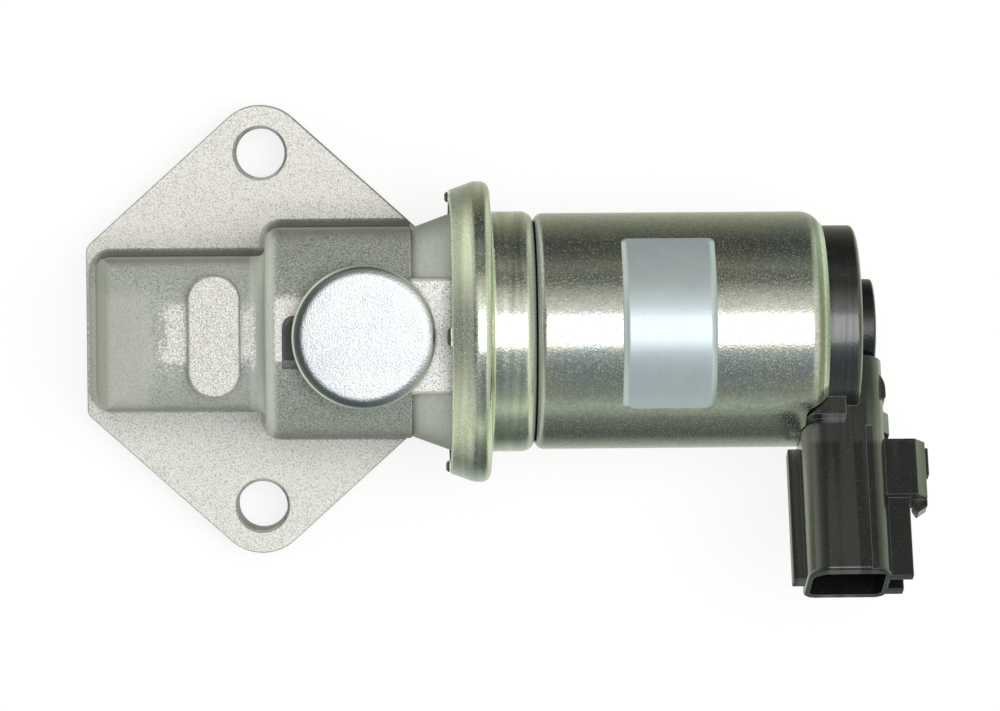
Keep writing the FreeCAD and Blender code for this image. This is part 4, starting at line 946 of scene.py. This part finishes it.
stand_in(wound_coil(), "copper", "coil_winding")

# %% [markdown]
# Both springs are wound from round wire with their end turns closed, so that they stand square. A
# screw modifier would give one pitch all along, so the pitch is summed up point by point.

# %% Wound springs
SPRING_STEPS, SPRING_SIDES = 36, 12     # steps in one turn of the helix, and sides of the wire
CLOSED = 0.75       # turns that lie closed at an end, and as many over which the pitch then opens
SNUG = 1.03         # pitch of a closed turn, as a part of the wire's thickness
SPRINGS = {         # node: thickness of the wire, turns, and whether the low end moves
    "return_spring": (0.8 * MM, 6.5, False), "armature_spring": (0.6 * MM, 7.0, True),
}


def wound_spring(node, thickness, turns):
    """Circle carried along a helix about the solenoid axis. Along the axis the helix goes on by
    the running sum of its pitch, which is snug in the end turns and wider between them."""
    low, high = span(node)
    radius = (high[2] - low[2] - thickness) / 2
    turn = np.linspace(0, turns, int(turns * SPRING_STEPS) + 1)
    into = np.clip(np.minimum(turn, turns - turn) - CLOSED, 0, CLOSED) / CLOSED
    rise = into * into * (3 - 2 * into)
    total, closed = high[0] - low[0] - thickness, thickness * turns * SNUG
    pitch = SNUG * thickness + rise * (total - closed) / rise.mean() / turns
    x = np.concatenate([[0], np.cumsum((pitch[1:] + pitch[:-1]) / 2)])
    x = low[0] + thickness / 2 + x * total / x[-1]
    angle = 2 * np.pi * turn[:, None]
    side = np.linspace(0, 2 * np.pi, SPRING_SIDES, endpoint=False)[None, :]
    size = np.full_like(turn, thickness / 2)
    x, size, angle = (np.concatenate([a[:1], a, a[-1:]]) for a in (x, size, angle))
    size[[0, -1]] = 0
    reach = radius + size[:, None] * np.cos(side)
    grid = np.stack([x[:, None] + size[:, None] * np.sin(side), reach * np.sin(angle),
                     AXIS_Z + reach * np.cos(angle)], axis=-1)
    return surface("wound_" + node, grid, wire, (False, True))


for node, (thickness, turns, low_moves) in SPRINGS.items():
    piece = wound_spring(node, thickness, turns)
    low, high = span(node)
    ends = [(float(low[0] + thickness), 0, AXIS_Z), (float(high[0] - thickness), 0, AXIS_Z)]
    if low_moves:
        ends.reverse()
    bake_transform(piece)
    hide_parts(node)
    print(piece.name, "has", len(piece.data.polygons), "faces")

# %% [markdown]
# The plastic was injected through a gate under the mouth of the socket, and the broken-off gate
# left a small round nub there. A ball sunk in the wall would stand too high, so it is a shallow
# dome laid on the leaning wall.

# %% Gate nub
SOCKET_LEAN = np.radians(25)
NUB_PLACE = (80.1 * MM, 36.3 * MM, -6.9 * MM)   # along X, out along the socket, and across it
NUB_RADIUS, NUB_HEIGHT = 0.85 * MM, 0.5 * MM
NUB_SUNK = -0.6                                 # how deep its foot goes, as a part of its height
NUB_STEPS, NUB_SIDES = 10, 32


def gate_nub():
    """Dome over a disc: height is the full one times the root of 1 - rho squared, and its foot is
    sunk in the wall. The disc's axes are X and the way out along the socket."""
    out = np.array([0, -np.cos(SOCKET_LEAN), np.sin(SOCKET_LEAN)])
    down = np.array([0, -np.sin(SOCKET_LEAN), -np.cos(SOCKET_LEAN)])
    centre = np.array([NUB_PLACE[0], 0, AXIS_Z]) + NUB_PLACE[1] * out - NUB_PLACE[2] * down
    rise = np.linspace(0, np.pi / 2, NUB_STEPS)
    rho = np.concatenate([np.sin(rise), [1.0, 0.0]])[:, None, None]
    lift = NUB_HEIGHT * np.concatenate([np.cos(rise), [NUB_SUNK, NUB_SUNK]])[:, None, None]
    angle = np.linspace(0, 2 * np.pi, NUB_SIDES, endpoint=False)[None, :, None]
    across = np.array([1.0, 0, 0]) * np.cos(angle) + out * np.sin(angle)
    grid = centre + NUB_RADIUS * rho * across + lift * down
    return surface("gate_nub", grid, moulding, (False, True))


stand_in(gate_nub(), "black_plastic")

# %% [markdown]
# The other inner nodes keep the shapes of their solids, because little of them shows. Each gets
# the finish of its own metal, rubber or plastic, so that the ports and the socket look right from
# inside. Nodes that a new piece replaces are dressed too, so that the table of finishes is whole.

# %% Dress the inner pieces
INNER = {
    core: ("fixed_pole", "flux_washer", "armature"),
    brass: ("pole_bush", "guide_tube", "seat_insert", "rod_end_bush", "poppet"),
    rubber: ("rod_seal", "body_seal", "end_seal", "poppet_face"),
    wire: ("poppet_clip", "return_spring", "armature_spring"),
    nylon: ("coil_bobbin",),
    copper: ("coil_winding",),
    tin: ("terminal_left", "terminal_right"),
    film: ("rating_label",),
}
for material, nodes in INNER.items():
    dress(material, *nodes)

# %% [markdown]
# The valve lies on its mounting face on a pale table that is lit from within, as for a catalogue.
# A lit white sheet could do the same, but a face that glows by itself is even all over. It isn't
# seen in the metal, where the painted room stands for it.

# %% Floor
FLOOR_SIZE = 3.0
FLOOR_DROP = 0.1 * MM       # just clear of the mounting face, so the two never flicker
TABLE_GLOW = 0.82           # one is white in the picture

half, down = FLOOR_SIZE / 2, -FLOOR_DROP
corners = [(-half, -half, down), (half, -half, down), (half, half, down), (-half, half, down)]
floor_mesh = bpy.data.meshes.new("floor")
floor_mesh.from_pydata(corners, [], [(0, 1, 2, 3)])
floor = bpy.data.objects.new("floor", floor_mesh)
bpy.context.scene.collection.objects.link(floor)
table = Finish("pale_table", {"Roughness": 0.9, "Base Color": (0.20, 0.20, 0.20),
                              "Emission Color": (1.0, 1.0, 1.0), "Emission Strength": TABLE_GLOW})
floor_mesh.materials.append(table.material)
floor.visible_glossy = False
print("floor is", FLOOR_SIZE, "m wide and", FLOOR_DROP / MM, "mm below the mounting face")

# %% [markdown]
# From here on nothing is added to the scene.
